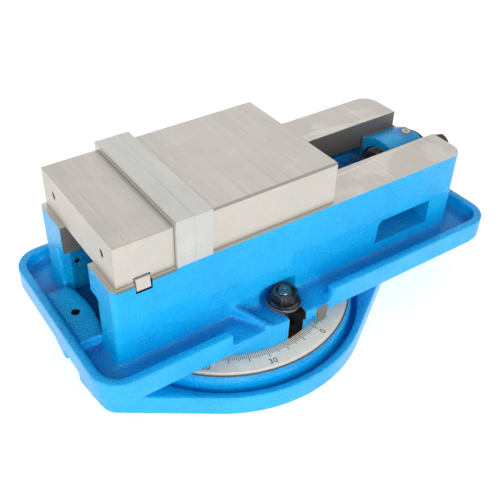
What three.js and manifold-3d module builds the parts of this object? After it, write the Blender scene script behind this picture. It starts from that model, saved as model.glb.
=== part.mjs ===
// Angle-lock milling vise on a graduated swivel base.
// Millimetres, +Z up. The origin is the swivel axis on the underside of the base.
// +X runs along the clamping screw towards its hexagon end; the fixed jaw is at the -X end.
import * as THREE from "three";
import { mergeVertices } from "three/addons/utils/BufferGeometryUtils.js";
import Module from "manifold-3d";

const wasm = await Module();
wasm.setup();

// ---------------------------------------------------------------- driving dimensions

// Fits
const GAP = 0.3; // between two pieces that touch or slide on each other
const HEAD_CLEARANCE = 1; // around a screw head in its counterbore
const CUT = 2; // how far a cut runs past the face it opens

// Swivel base
const BASE_RADIUS = 158.3;
const BASE_RIM_TOP = 22.5;
const BASE_RIM_WIDTH = 8;
const BASE_GUTTER_WIDTH = 7;
const BASE_GUTTER_FLOOR = 12;
const BASE_EDGE = 2.5; // rounding of the rim's outer edge
const RING_TOP = 34.4; // ground face that carries the degree scale
const RING_STEP = 1.4;
const RING_SHOULDER = 4.5; // sloping width between the ground face and the gutter
const RING_SHOULDER_DROP = 6;
const LUG_REACH = 185; // from the swivel axis to the end of a hold-down lug
const LUG_TOP = 23.5;
const LUG_CORNER_RADIUS = 20;
const LUG_END_RADIUS = 420;
const LUG_FLANK_DEG = 33.4; // where the lug's flank leaves the round rim, from the Y axis
const LUG_SLOT_WIDTH = 20;
const LUG_SLOT_DEPTH = 27; // from the lug's end to the slot's round end
const LUG_MOUTH_WIDTH = 36;
const LUG_MOUTH_DEPTH = 9;

// Annular T-slot and the clamp bolts that stand in it
const T_RADIUS = 91.5;
const T_LIP = 13.4; // thickness of metal above the wide part
const T_HEAD = 28;
const T_HEAD_HEIGHT = 10;
const T_HEAD_PLAY = 2; // between a bolt's head and the walls and floor of the wide part
const STUD_RADIUS = 8;
const STUD_PLAY = 1.25; // on each side of the stud, in the neck of the T-slot
const STUD_X = 16.5;
const STUD_PROUD = 1.2; // above the nut
const WASHER_RADIUS = 17.5;
const WASHER_THICKNESS = 3;
const NUT_ACROSS_FLATS = 24;
const NUT_HEIGHT = 13;
const NUT_FLANGE_RADIUS = 16;
const NUT_FLANGE_HEIGHT = 2.4;
const NUT_CROWN = 1.5; // height of the chamfer over the nut's corners
const NUT_CROWN_WIDTH = 2.1;
const NUT_TURN_DEG = 20; // how a tightened nut happens to stand

// Pivot
const PIVOT_RADIUS = 25;
const PIVOT_IN_BASE = 22.4;
const PIVOT_IN_BODY = 13.6;
const PIVOT_CHAMFER = 1.5;

// Body and its two rails, above the turntable boss
const BOSS_RADIUS = 113.5;
const BOSS_HEIGHT = 17.5;
const BODY_X0 = -165;
const BODY_X1 = 266;
const BODY_WIDTH = 159.4;
const BODY_HEIGHT = 90.4; // from the tray's floor to the bed
const BODY_CORNER = 18; // outer corners at the screw end
const BODY_END_CORNER = 4; // outer corners at the fixed-jaw end
const SLOT_WIDTH = 62.3;
const RAIL_DEPTH = 32; // thickness of the rails' machined lips
const RAIL_UNDERCUT = 13.85; // the cavity is this much wider than the slot on each side
const CAVITY_SINK = 1.5; // the cavity's floor below the tray's floor

// Coolant tray round the foot of the body
const TRAY_SIDE = 34.1; // how far the tray stands out from the body's walls and ends
const TRAY_END = 31.5;
const TRAY_SCREW_END = 30.3;
const TRAY_THICKNESS = 11.3;
const TRAY_RIM_HEIGHT = 14.4;
const TRAY_RIM_WIDTH = 9.2;
const TRAY_CORNER = 30;
const TRAY_NOTCH_HALF = 60; // half length of the gap in the rim beside each clamp bolt
const PLATFORM_WIDTH = 83; // raised floor at the -X end
const PLATFORM_HEIGHT = 10.5;
const PLATFORM_REACH = 7; // into the cavity
const PLATFORM_HOLE_INSET = 24.5;
const PLATFORM_HOLE_RADIUS = 4.5;

// Seat of the clamp bolts in the body
const STUD_SLOT_PLAY = 2.5; // on each side of the stud
const WRENCH_PLAY = 7.5; // round the washer, hollowed out of the wall
const WRENCH_HEIGHT = 26; // up to where the hollow starts to close
const WRENCH_CROWN = 6;
const RIB_THICKNESS = 4;
const RIB_FOOT = 55.5; // from the stud, along the wall
const RIB_TOE = 31.5; // from the stud, along the tray's edge
const RIB_HEIGHT = 13.5;
const INDEX_OFFSET = 23; // from the stud to the index pad
const INDEX_WIDTH = 14.5;
const INDEX_CLEARANCE = 2.1; // above the scale
const INDEX_PROUD = 1.2;

// Chip window through each side wall
const WINDOW_FROM_END = 43;
const WINDOW_LENGTH = 78;
const WINDOW_SILL = 13.5; // above the tray's floor
const WINDOW_HEIGHT = 29;
const WINDOW_CORNER = 8;
const WINDOW_RISE = 9; // the sill climbs this much towards the cavity

// Clamping screw and its bearing
const SCREW_DEPTH = 46.9; // axis below the bed
const SCREW_RADIUS = 14;
const SCREW_TAIL = 25; // beyond the closed nut
const SCREW_REACH = 58.6; // beyond the body
const SCREW_LEAD_IN = 2; // chamfer at the tail
const HEX_ACROSS_FLATS = 24;
const HEX_LENGTH = 35;
const HEX_CHAMFER = 2;
const FLANGE_RADIUS = 23;
const FLANGE_THICKNESS = 8;
const FLANGE_RECESS = 3; // from the housing's inner end to the screw's flange
const HOUSING_RADIUS = 38;
const HOUSING_LENGTH = 56.2;
const HOUSING_SHELF_DEPTH = 17; // below the bed
const BEARING_OUTER = 26;
const BEARING_PLAY = 1.5;
const RACE_THICKNESS = 4;
const BALL_RADIUS = 3.2;
const BALL_COUNT = 12;
const CAGE_THICKNESS = 3;
const CAGE_BAND = 3; // radial width of the cage on each side of the balls' circle
const BUSH_WALL = 4;
const COLLAR_RADIUS = 31.5;
const COLLAR_WIDTH = 10;
const COLLAR_CHAMFER = 1.2;
const COLLAR_SCREW_RADIUS = 3;
const COLLAR_SCREW_LENGTH = 14;
const OILER_FROM_END = 10.3;
const OILER_RADIUS = 5;
const OILER_HEAD = 2.4;
const OILER_STEM = 3;
const OILER_STEM_RELIEF = 2; // between the stem and the bush
const OILER_BALL = 1.8;
const OILER_EDGE = 0.6;

// Jaws; heights are above the bed
const FIXED_SETBACK = 6; // from the body's end to the fixed jaw
const FIXED_LENGTH = 58.9;
const FIXED_WIDTH = 152;
const FIXED_HEIGHT = 43.6;
const PLATE_WIDTH = 160;
const PLATE_THICKNESS = 18.7;
const PLATE_HEIGHT = 50.5;
const MOVING_LENGTH = 145.2;
const MOVING_WIDTH = 150.9;
const MOVING_HEIGHT = 45.9;
const MOVING_CHAMFER = 3;
const JAW_EDGE = 0.8; // small chamfer along the fixed jaw and the plates
const STOP_HOLE_SPACING = 103.6;
const STOP_HOLE_HEIGHT = 24;
const STOP_HOLE_RADIUS = 4;
const STOP_HOLE_DEPTH = 20;

// Keys between the fixed jaw and the rails
const KEY_OFFSET = 25.4; // from the fixed jaw's outer end to the key's centre
const KEY_LENGTH_X = 14.6;
const KEY_BELOW = 8.7; // how far a key reaches below and above the bed
const KEY_ABOVE = 3.9;
const KEYWAY_CLEARANCE = 1;
const KEY_BEVEL = 1.5;

// Screws: M12 through the rails into the fixed jaw, M10 through the jaw plates
const RAIL_SCREW = { radius: 6, head: 9, headHeight: 12, across: 10, length: 48 };
const RAIL_SCREW_OFFSETS = [9, 46]; // from the fixed jaw's outer end
const RAIL_SCREW_SPACING = 116;
const PLATE_SCREW = { radius: 5, head: 8, headHeight: 10, across: 8, length: 30 };
const PLATE_SCREW_SPACING = 100;
const PLATE_SCREW_HEIGHT = 25;
const SOCKET_SHARE = 0.55; // depth of a socket, as a share of its head's height
const THREAD_RUNOUT = 3; // how far a tapped hole goes past its screw

// Nut and angle lock; heights are above the bed
const NUT_LENGTH = 103.4;
const NUT_UNDER_SCREW = 9; // metal below the screw
const NUT_HEAD_WIDTH = 44;
const NUT_HEAD_HEIGHT = 34;
const NUT_HEAD_REAR = 53.3; // from the moving jaw's outer end
const POCKET_REAR = 17.3;
const POCKET_CLEARANCE = 1;
const LOCK_INSET = 91.3; // from the moving jaw's outer end to the centre of the half ball's flat
const LOCK_HEIGHT = 18;
const LOCK_DEG = 45;
const LOCK_RADIUS = 12;
const SET_SCREW_RADIUS = 6;
const SET_SCREW_INSET = 2;

// Roundness
const FINE = 48; // sides of the largest circles
const HOUSING_SIDES = 40;
const COLLAR_SIDES = 36;
const ROUND = 24;
const SMALL = 12;
const BALL_SIDES = 8;
const CORNER_STEPS = 5; // edges along each quarter corner

// ---------------------------------------------------------------- finishes

const paint = () => new THREE.MeshStandardMaterial({ color: 0x1494e6, roughness: 0.35, metalness: 0 });
const ground = () => new THREE.MeshStandardMaterial({ color: 0xcbc6bd, roughness: 0.42, metalness: 0.9 });
const hardened = () => new THREE.MeshStandardMaterial({ color: 0xc4c6c4, roughness: 0.35, metalness: 0.95 });
const blackOxide = () => new THREE.MeshStandardMaterial({ color: 0x1b1b1d, roughness: 0.45, metalness: 0.8 });
const phosphate = () => new THREE.MeshStandardMaterial({ color: 0x3d4140, roughness: 0.55, metalness: 0.8 });
const polished = () => new THREE.MeshStandardMaterial({ color: 0xd8d8d8, roughness: 0.15, metalness: 1 });
const bronze = () => new THREE.MeshStandardMaterial({ color: 0xa8763a, roughness: 0.4, metalness: 0.95 });
const brass = () => new THREE.MeshStandardMaterial({ color: 0xd9c9a0, roughness: 0.3, metalness: 0.9 });

// ---------------------------------------------------------------- solids

// A closed three.js geometry as a solid that can be joined and cut.
function solid(geometry) {
  const bare = geometry.clone();
  bare.deleteAttribute("normal");
  bare.deleteAttribute("uv");
  const merged = mergeVertices(bare, 1e-4);
  const corners = merged.index.array;
  const triangles = [];
  for (let i = 0; i < corners.length; i += 3) {
    const [a, b, c] = corners.slice(i, i + 3);
    if (a !== b && b !== c && c !== a) triangles.push(a, b, c);
  }
  const vertProperties = merged.attributes.position.array;
  const mesh = new wasm.Mesh({ numProp: 3, vertProperties, triVerts: new Uint32Array(triangles) });
  return new wasm.Manifold(mesh);
}

// A box from its lowest corner to its highest one.
function block([x0, y0, z0], [x1, y1, z1]) {
  const box = new THREE.BoxGeometry(x1 - x0, y1 - y0, z1 - z0);
  return solid(box.translate((x0 + x1) / 2, (y0 + y1) / 2, (z0 + z1) / 2));
}

// A round bar along Z from z0 to z1, standing on (x, y).
function post(radius, z0, z1, x = 0, y = 0, sides = ROUND) {
  const bar = new THREE.CylinderGeometry(radius, radius, z1 - z0, sides).rotateX(Math.PI / 2);
  return solid(bar.translate(x, y, (z0 + z1) / 2));
}

// A round bar along X from x0 to x1, through (y, z).
function shaft(radius, x0, x1, y, z, sides = ROUND) {
  const bar = new THREE.CylinderGeometry(radius, radius, x1 - x0, sides).rotateZ(-Math.PI / 2);
  return solid(bar.translate((x0 + x1) / 2, y, z));
}

// A profile of [radius, height] points, turned about Z.
function turned(profile, sides = ROUND) {
  const points = profile.map(([radius, height]) => new THREE.Vector2(radius, height));
  return solid(new THREE.LatheGeometry(points, sides).rotateX(Math.PI / 2));
}

// A profile of [radius, x] points, turned about the clamping screw's axis.
function turnedOnScrew(profile, sides = ROUND) {
  const points = profile.map(([radius, x]) => new THREE.Vector2(radius, x));
  return solid(new THREE.LatheGeometry(points, sides).rotateZ(-Math.PI / 2).translate(0, 0, SCREW_Z));
}

// An outline in XY, drawn up from z0 to z1.
function plate(shape, z0, z1) {
  const options = { depth: z1 - z0, bevelEnabled: false, curveSegments: CORNER_STEPS };
  return solid(new THREE.ExtrudeGeometry(shape, options).translate(0, 0, z0));
}

// An outline of [x, z] points, drawn across from y0 to y1.
function across(points, y0, y1) {
  const shape = new THREE.Shape(points.map(([x, z]) => new THREE.Vector2(x, z)));
  const drawn = new THREE.ExtrudeGeometry(shape, { depth: y1 - y0, bevelEnabled: false });
  return solid(drawn.rotateX(Math.PI / 2).translate(0, y1, 0));
}

// An outline of [y, z] points, drawn along from x0 to x1.
function along(points, x0, x1) {
  const shape = new THREE.Shape(points.map(([y, z]) => new THREE.Vector2(y, z)));
  const drawn = new THREE.ExtrudeGeometry(shape, { depth: x1 - x0, bevelEnabled: false });
  return solid(drawn.rotateY(Math.PI / 2).rotateX(Math.PI / 2).translate(x0, 0, 0));
}

// A hexagon prism along Z from z0 to z1.
function hexagon(acrossFlats, z0, z1) {
  return post(acrossFlats / Math.sqrt(3), z0, z1, 0, 0, 6);
}

// A rectangle with its own radius at the -X and at the +X corners.
function roundedOutline(x0, x1, halfWidth, radius0, radius1) {
  const shape = new THREE.Shape();
  shape.moveTo(x0 + radius0, -halfWidth);
  shape.absarc(x1 - radius1, -halfWidth + radius1, radius1, -Math.PI / 2, 0);
  shape.absarc(x1 - radius1, halfWidth - radius1, radius1, 0, Math.PI / 2);
  shape.absarc(x0 + radius0, halfWidth - radius0, radius0, Math.PI / 2, Math.PI);
  shape.absarc(x0 + radius0, -halfWidth + radius0, radius0, Math.PI, Math.PI * 1.5);
  return shape;
}

const joined = (solids) => solids.reduce((all, one) => all.add(one));
const cutBy = (whole, cuts) => cuts.reduce((left, cut) => left.subtract(cut), whole);
const bothSides = (make) => [make(-1), make(1)];

// One named piece with its own finish.
function piece(name, shape, finish) {
  const { vertProperties, triVerts } = shape.getMesh();
  const geometry = new THREE.BufferGeometry();
  geometry.setAttribute("position", new THREE.BufferAttribute(new Float32Array(vertProperties), 3));
  geometry.setIndex(new THREE.BufferAttribute(new Uint32Array(triVerts), 1));
  const mesh = new THREE.Mesh(geometry.toNonIndexed(), finish());
  mesh.geometry.computeVertexNormals();
  mesh.name = name;
  return mesh;
}

function placed(mesh, x, y, z) {
  mesh.position.set(x, y, z);
  return mesh;
}

// ---------------------------------------------------------------- places worked out from the sizes

const RING_RADIUS = BASE_RADIUS - BASE_RIM_WIDTH - BASE_GUTTER_WIDTH - RING_SHOULDER;
const T_WIDTH = T_HEAD + 2 * T_HEAD_PLAY;
const T_NECK = 2 * (STUD_RADIUS + STUD_PLAY);
const T_TOP = RING_TOP - T_LIP;
const T_BOTTOM = T_TOP - T_HEAD_HEIGHT - T_HEAD_PLAY;
const PIVOT_BOTTOM = RING_TOP - PIVOT_IN_BASE;
const PIVOT_TOP = RING_TOP + PIVOT_IN_BODY;

const BOSS_BOTTOM = RING_TOP + GAP;
const TRAY_BOTTOM = BOSS_BOTTOM + BOSS_HEIGHT;
const TRAY_FLOOR = TRAY_BOTTOM + TRAY_THICKNESS;
const TRAY_RIM_TOP = TRAY_FLOOR + TRAY_RIM_HEIGHT;
const TRAY_X0 = BODY_X0 - TRAY_END;
const TRAY_X1 = BODY_X1 + TRAY_SCREW_END;
const TRAY_WIDTH = BODY_WIDTH + 2 * TRAY_SIDE;
const BED_TOP = TRAY_FLOOR + BODY_HEIGHT;
const LIP_BOTTOM = BED_TOP - RAIL_DEPTH;
const CAVITY_FLOOR = TRAY_FLOOR - CAVITY_SINK;
const CAVITY_WIDTH = SLOT_WIDTH + 2 * RAIL_UNDERCUT;
const WINDOW_X1 = BODY_X1 - WINDOW_FROM_END;
const WINDOW_X0 = WINDOW_X1 - WINDOW_LENGTH;
const WINDOW_Z0 = TRAY_FLOOR + WINDOW_SILL;
const WINDOW_Z1 = WINDOW_Z0 + WINDOW_HEIGHT;

const STUD_Y = Math.sqrt(T_RADIUS ** 2 - STUD_X ** 2);
const WASHER_BOTTOM = TRAY_FLOOR + GAP;
const CLAMP_NUT_BOTTOM = WASHER_BOTTOM + WASHER_THICKNESS + GAP;
const STUD_TOP = CLAMP_NUT_BOTTOM + NUT_HEIGHT + STUD_PROUD;

const JAW_BOTTOM = BED_TOP + GAP;
const FIXED_X0 = BODY_X0 + FIXED_SETBACK;
const FIXED_FACE_X = FIXED_X0 + FIXED_LENGTH;
const CLAMP_X = FIXED_FACE_X + GAP + PLATE_THICKNESS + GAP / 2;
const MOVING_FACE_X = CLAMP_X + GAP / 2 + PLATE_THICKNESS + GAP;
const MOVING_X1 = MOVING_FACE_X + MOVING_LENGTH;
const KEY_CENTRE_X = FIXED_X0 + KEY_OFFSET;
const KEY_BOTTOM = BED_TOP - KEY_BELOW;
const KEY_TOP = BED_TOP + KEY_ABOVE;
const PLATE_SCREW_Z = BED_TOP + PLATE_SCREW_HEIGHT;

const SCREW_Z = BED_TOP - SCREW_DEPTH;
const NUT_X1 = MOVING_X1;
const NUT_X0 = NUT_X1 - NUT_LENGTH;
const LOCK_X = MOVING_X1 - LOCK_INSET;
const LOCK_Z = BED_TOP + LOCK_HEIGHT;
const LOCK = THREE.MathUtils.degToRad(LOCK_DEG);
const HOUSING_X0 = BODY_X1 - HOUSING_LENGTH;
const FLANGE_X0 = HOUSING_X0 + FLANGE_RECESS;
const FRONT_RACE_X0 = FLANGE_X0 + FLANGE_THICKNESS + GAP;
const BALLS_X = FRONT_RACE_X0 + RACE_THICKNESS + GAP + BALL_RADIUS;
const BALL_CIRCLE = (BEARING_OUTER + SCREW_RADIUS + GAP) / 2;
const REAR_RACE_X0 = BALLS_X + BALL_RADIUS + GAP;
const BEARING_SEAT_X = REAR_RACE_X0 + RACE_THICKNESS + GAP;
const BUSH_RADIUS = SCREW_RADIUS + GAP + BUSH_WALL;
const SCREW_X0 = NUT_X0 - SCREW_TAIL;
const SCREW_X1 = BODY_X1 + SCREW_REACH;
const COLLAR_X0 = BODY_X1 + GAP;
const OILER_X = BODY_X1 - OILER_FROM_END;
const OILER_SEAT = SCREW_Z + HOUSING_RADIUS - OILER_HEAD / 2;

// ---------------------------------------------------------------- swivel base

// The round rim and the two lugs, as a quarter outline that is mirrored about both axes.
function baseOutline() {
  const flank = THREE.MathUtils.degToRad(LUG_FLANK_DEG);
  const outward = new THREE.Vector2(Math.sin(flank), Math.cos(flank));
  const sideways = new THREE.Vector2(Math.cos(flank), -Math.sin(flank));
  const endCentre = new THREE.Vector2(LUG_REACH - LUG_END_RADIUS, 0);
  const start = outward.clone().multiplyScalar(BASE_RADIUS - LUG_CORNER_RADIUS);
  const toStart = start.clone().sub(endCentre);
  const half = toStart.dot(sideways);
  const reach = (LUG_END_RADIUS - LUG_CORNER_RADIUS) ** 2 - toStart.lengthSq();
  const corner = start.addScaledVector(sideways, -half + Math.sqrt(half ** 2 + reach));
  const endAngle = corner.clone().sub(endCentre).angle();
  const quarter = [];
  const arc = (centre, radius, from, to, steps) => {
    for (let i = 0; i <= steps; i += 1) {
      const angle = from + ((to - from) * i) / steps;
      quarter.push([centre.x + radius * Math.cos(angle), centre.y + radius * Math.sin(angle)]);
    }
  };
  arc(new THREE.Vector2(0, 0), BASE_RADIUS, Math.PI / 2, Math.PI / 2 - flank, CORNER_STEPS);
  arc(corner, LUG_CORNER_RADIUS, Math.PI / 2 - flank, endAngle, CORNER_STEPS);
  arc(endCentre, LUG_END_RADIUS, endAngle, 0, CORNER_STEPS - 2);
  const right = [...quarter, ...quarter.map(([x, y]) => [x, -y]).reverse().slice(1)];
  const whole = [...right, ...right.map(([x, y]) => [-x, y]).reverse().slice(1, -1)];
  return new THREE.Shape(whole.reverse().map(([x, y]) => new THREE.Vector2(x, y)));
}

// The open slot in the lug on one side, with its flared mouth.
function lugSlot(side) {
  const inner = LUG_REACH - LUG_SLOT_DEPTH + LUG_SLOT_WIDTH / 2;
  const mouth = LUG_REACH - LUG_MOUTH_DEPTH;
  const slot = new THREE.Shape();
  slot.moveTo(mouth, LUG_SLOT_WIDTH / 2);
  slot.absarc(inner, 0, LUG_SLOT_WIDTH / 2, Math.PI / 2, Math.PI * 1.5);
  slot.lineTo(mouth, -LUG_SLOT_WIDTH / 2);
  slot.lineTo(LUG_REACH + CUT, -LUG_MOUTH_WIDTH / 2);
  slot.lineTo(LUG_REACH + CUT, LUG_MOUTH_WIDTH / 2);
  const cut = plate(slot, -CUT, LUG_TOP + CUT);
  return side > 0 ? cut : cut.rotate([0, 0, 180]);
}

function swivelBase() {
  const rimInner = BASE_RADIUS - BASE_RIM_WIDTH;
  const shoulder = rimInner - BASE_GUTTER_WIDTH;
  const round = turned([
    [0, 0],
    [BASE_RADIUS, 0],
    [BASE_RADIUS, BASE_RIM_TOP - BASE_EDGE],
    [BASE_RADIUS - BASE_EDGE, BASE_RIM_TOP],
    [rimInner, BASE_RIM_TOP],
    [rimInner, BASE_GUTTER_FLOOR],
    [shoulder, BASE_GUTTER_FLOOR],
    [shoulder, RING_TOP - RING_SHOULDER_DROP],
    [RING_RADIUS, RING_TOP - RING_STEP],
    [RING_RADIUS, RING_TOP],
    [0, RING_TOP],
  ], FINE);
  const disc = post(BASE_RADIUS - 1, -CUT, LUG_TOP + CUT, 0, 0, FINE);
  const lugs = plate(baseOutline(), 0, LUG_TOP).subtract(disc);
  const ring = (width, z0, z1) => turned([
    [T_RADIUS - width / 2, z0],
    [T_RADIUS + width / 2, z0],
    [T_RADIUS + width / 2, z1],
    [T_RADIUS - width / 2, z1],
    [T_RADIUS - width / 2, z0],
  ], FINE);
  return cutBy(round.add(lugs), [
    ...bothSides(lugSlot),
    ring(T_NECK, T_TOP - CUT, RING_TOP + CUT),
    ring(T_WIDTH, T_BOTTOM, T_TOP),
    post(T_WIDTH / 2, T_BOTTOM, RING_TOP + CUT, -T_RADIUS, 0), // where the bolt heads go in
    post(PIVOT_RADIUS + GAP, PIVOT_BOTTOM - GAP, RING_TOP + CUT),
  ]);
}

function pivotPin() {
  return turned([
    [0, PIVOT_BOTTOM],
    [PIVOT_RADIUS - PIVOT_CHAMFER, PIVOT_BOTTOM],
    [PIVOT_RADIUS, PIVOT_BOTTOM + PIVOT_CHAMFER],
    [PIVOT_RADIUS, PIVOT_TOP - PIVOT_CHAMFER],
    [PIVOT_RADIUS - PIVOT_CHAMFER, PIVOT_TOP],
    [0, PIVOT_TOP],
  ]);
}

// ---------------------------------------------------------------- body casting

function tray() {
  const half = TRAY_WIDTH / 2;
  const rim = TRAY_RIM_WIDTH;
  const outer = roundedOutline(TRAY_X0, TRAY_X1, half, TRAY_CORNER, TRAY_CORNER);
  const corner = TRAY_CORNER - rim;
  const inner = roundedOutline(TRAY_X0 + rim, TRAY_X1 - rim, half - rim, corner, corner);
  const notch = (side) => {
    const [near, far] = [side * (BODY_WIDTH / 2), side * (half + CUT)].sort((a, b) => a - b);
    return block([-TRAY_NOTCH_HALF, near, TRAY_FLOOR], [TRAY_NOTCH_HALF, far, TRAY_RIM_TOP + CUT]);
  };
  return cutBy(plate(outer, TRAY_BOTTOM, TRAY_RIM_TOP), [
    plate(inner, TRAY_FLOOR, TRAY_RIM_TOP + CUT),
    ...bothSides(notch),
  ]);
}

// The thin rib that runs from the wall down to the tray's edge beside the clamp bolt.
function rib(side) {
  const wall = BODY_WIDTH / 2 - CUT;
  const edge = TRAY_WIDTH / 2;
  const footX = STUD_X - RIB_FOOT;
  const toeX = STUD_X - RIB_TOE;
  const leaf = along([
    [0, TRAY_FLOOR - CUT],
    [edge - wall, TRAY_FLOOR - CUT],
    [edge - wall, TRAY_FLOOR + CUT / 2],
    [0, TRAY_FLOOR + RIB_HEIGHT],
  ], 0, RIB_THICKNESS);
  const turn = THREE.MathUtils.radToDeg(Math.atan2(footX - toeX, edge - wall));
  const swung = leaf.rotate([0, 0, turn]).translate([footX, wall, 0]);
  const trimmed = swung.intersect(block([BODY_X0, 0, 0], [BODY_X1, edge, BED_TOP]));
  return side > 0 ? trimmed : trimmed.mirror([0, 1, 0]);
}

// The slot for the stud, open to the side, and the round hollow that clears the wrench.
function studCuts(side) {
  const y = side * STUD_Y;
  const outside = side * (TRAY_WIDTH / 2 + CUT + INDEX_PROUD);
  const [y0, y1] = [y, outside].sort((a, b) => a - b);
  const half = STUD_RADIUS + STUD_SLOT_PLAY;
  const hollow = WASHER_RADIUS + WRENCH_PLAY;
  const wrench = turned([
    [0, TRAY_FLOOR],
    [hollow, TRAY_FLOOR],
    [hollow, TRAY_FLOOR + WRENCH_HEIGHT],
    [hollow - WRENCH_CROWN, TRAY_FLOOR + WRENCH_HEIGHT + WRENCH_CROWN],
    [0, TRAY_FLOOR + WRENCH_HEIGHT + WRENCH_CROWN],
  ]);
  return [
    post(half, BOSS_BOTTOM - CUT, TRAY_FLOOR + CUT, STUD_X, y),
    block([STUD_X - half, y0, BOSS_BOTTOM - CUT], [STUD_X + half, y1, TRAY_FLOOR + CUT]),
    wrench.translate([STUD_X, y, 0]),
  ];
}

// A chip window: clipped at its upper -X corner, with a sill that falls outwards.
function chipWindow(side) {
  const face = across([
    [WINDOW_X0, WINDOW_Z0],
    [WINDOW_X1, WINDOW_Z0],
    [WINDOW_X1, WINDOW_Z1],
    [WINDOW_X0 + WINDOW_CORNER, WINDOW_Z1],
    [WINDOW_X0, WINDOW_Z1 - WINDOW_CORNER],
  ], CAVITY_WIDTH / 2 - CUT, BODY_WIDTH / 2 + CUT);
  const sill = along([
    [CAVITY_WIDTH / 2 - CUT, WINDOW_Z0 + WINDOW_RISE],
    [BODY_WIDTH / 2, WINDOW_Z0],
    [BODY_WIDTH / 2 + CUT, WINDOW_Z0],
    [BODY_WIDTH / 2 + CUT, WINDOW_Z1],
    [CAVITY_WIDTH / 2 - CUT, WINDOW_Z1],
  ], WINDOW_X0, WINDOW_X1);
  const cut = face.intersect(sill);
  return side > 0 ? cut : cut.mirror([0, 1, 0]);
}

function bearingHousing() {
  const half = SLOT_WIDTH / 2 + CUT;
  const foot = CAVITY_WIDTH / 2 + CUT;
  return joined([
    block([HOUSING_X0, -half, SCREW_Z], [BODY_X1, half, BED_TOP - HOUSING_SHELF_DEPTH]),
    block([HOUSING_X0, -foot, CAVITY_FLOOR - CUT], [BODY_X1, foot, SCREW_Z]),
    shaft(HOUSING_RADIUS, HOUSING_X0, BODY_X1, 0, SCREW_Z, HOUSING_SIDES),
  ]);
}

function railScrewPlaces() {
  const pair = (x) => bothSides((side) => [x, (side * RAIL_SCREW_SPACING) / 2]);
  return RAIL_SCREW_OFFSETS.flatMap((offset) => pair(FIXED_X0 + offset));
}

function railScrewCuts() {
  const { radius, head, headHeight } = RAIL_SCREW;
  const seat = LIP_BOTTOM;
  return railScrewPlaces().map(([x, y]) => joined([
    post(head + HEAD_CLEARANCE, TRAY_BOTTOM - CUT, seat, x, y),
    post(radius + GAP, seat - headHeight, BED_TOP + CUT, x, y, SMALL),
  ]));
}

// The keyway in the bed and in the fixed jaw, right across one rail.
function keyway() {
  const x0 = KEY_CENTRE_X - KEY_LENGTH_X / 2 - KEYWAY_CLEARANCE;
  const x1 = KEY_CENTRE_X + KEY_LENGTH_X / 2 + KEYWAY_CLEARANCE;
  const y1 = BODY_WIDTH / 2 + CUT;
  return block([x0, -y1, KEY_BOTTOM - KEYWAY_CLEARANCE * 2], [x1, y1, KEY_TOP + KEYWAY_CLEARANCE]);
}

function viseBody() {
  const half = BODY_WIDTH / 2;
  const outline = roundedOutline(BODY_X0, BODY_X1, half, BODY_END_CORNER, BODY_CORNER);
  const trunk = plate(outline, CAVITY_FLOOR - CUT, BED_TOP);
  const platformX0 = TRAY_X0 + TRAY_RIM_WIDTH / 2;
  const platformTop = TRAY_FLOOR + PLATFORM_HEIGHT;
  const platform = block(
    [platformX0, -PLATFORM_WIDTH / 2, TRAY_FLOOR - CUT],
    [BODY_X0 + PLATFORM_REACH, PLATFORM_WIDTH / 2, platformTop],
  );
  const indexX0 = STUD_X + INDEX_OFFSET;
  const index = block(
    [indexX0, -TRAY_WIDTH / 2 - INDEX_PROUD, RING_TOP + INDEX_CLEARANCE],
    [indexX0 + INDEX_WIDTH, -BODY_WIDTH / 2, TRAY_FLOOR],
  );
  const hollowed = cutBy(trunk, [
    block([BODY_X0 - CUT, -SLOT_WIDTH / 2, LIP_BOTTOM - CUT], [BODY_X1 + CUT, SLOT_WIDTH / 2, BED_TOP + CUT]),
    block([BODY_X0 - CUT, -CAVITY_WIDTH / 2, CAVITY_FLOOR], [HOUSING_X0, CAVITY_WIDTH / 2, LIP_BOTTOM]),
    ...bothSides(chipWindow),
  ]);
  const metal = joined([
    tray(),
    post(BOSS_RADIUS, BOSS_BOTTOM, TRAY_FLOOR - CUT / 2, 0, 0, FINE),
    hollowed,
    platform,
    index,
    ...bothSides(rib),
    bearingHousing(),
  ]);
  return cutBy(metal, [
    ...bothSides(studCuts).flat(),
    ...railScrewCuts(),
    keyway(),
    post(PIVOT_RADIUS + GAP, BOSS_BOTTOM - CUT, PIVOT_TOP + GAP),
    post(PLATFORM_HOLE_RADIUS, TRAY_BOTTOM - CUT, platformTop + CUT, TRAY_X0 + PLATFORM_HOLE_INSET, 0, SMALL),
    shaft(BEARING_OUTER + BEARING_PLAY, HOUSING_X0 - CUT, BEARING_SEAT_X, 0, SCREW_Z),
    shaft(BUSH_RADIUS + GAP, BEARING_SEAT_X - CUT, BODY_X1 + CUT, 0, SCREW_Z),
    post(OILER_STEM + GAP, SCREW_Z + BUSH_RADIUS, OILER_SEAT + CUT, OILER_X, 0, SMALL),
    post(OILER_RADIUS + GAP, OILER_SEAT - GAP, OILER_SEAT + OILER_HEAD + CUT, OILER_X, 0, SMALL),
  ]);
}

// ---------------------------------------------------------------- jaws

// A jaw block with its upper long edges and upper end edges chamfered.
function jawBlock(x0, x1, width, z1, chamfer) {
  const half = width / 2;
  const crossSection = along([
    [-half, JAW_BOTTOM],
    [half, JAW_BOTTOM],
    [half, z1 - chamfer],
    [half - chamfer, z1],
    [-half + chamfer, z1],
    [-half, z1 - chamfer],
  ], x0, x1);
  const sideView = across([
    [x0, JAW_BOTTOM],
    [x1, JAW_BOTTOM],
    [x1, z1 - JAW_EDGE],
    [x1 - JAW_EDGE, z1],
    [x0 + JAW_EDGE, z1],
    [x0, z1 - JAW_EDGE],
  ], -half, half);
  return crossSection.intersect(sideView);
}

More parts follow.
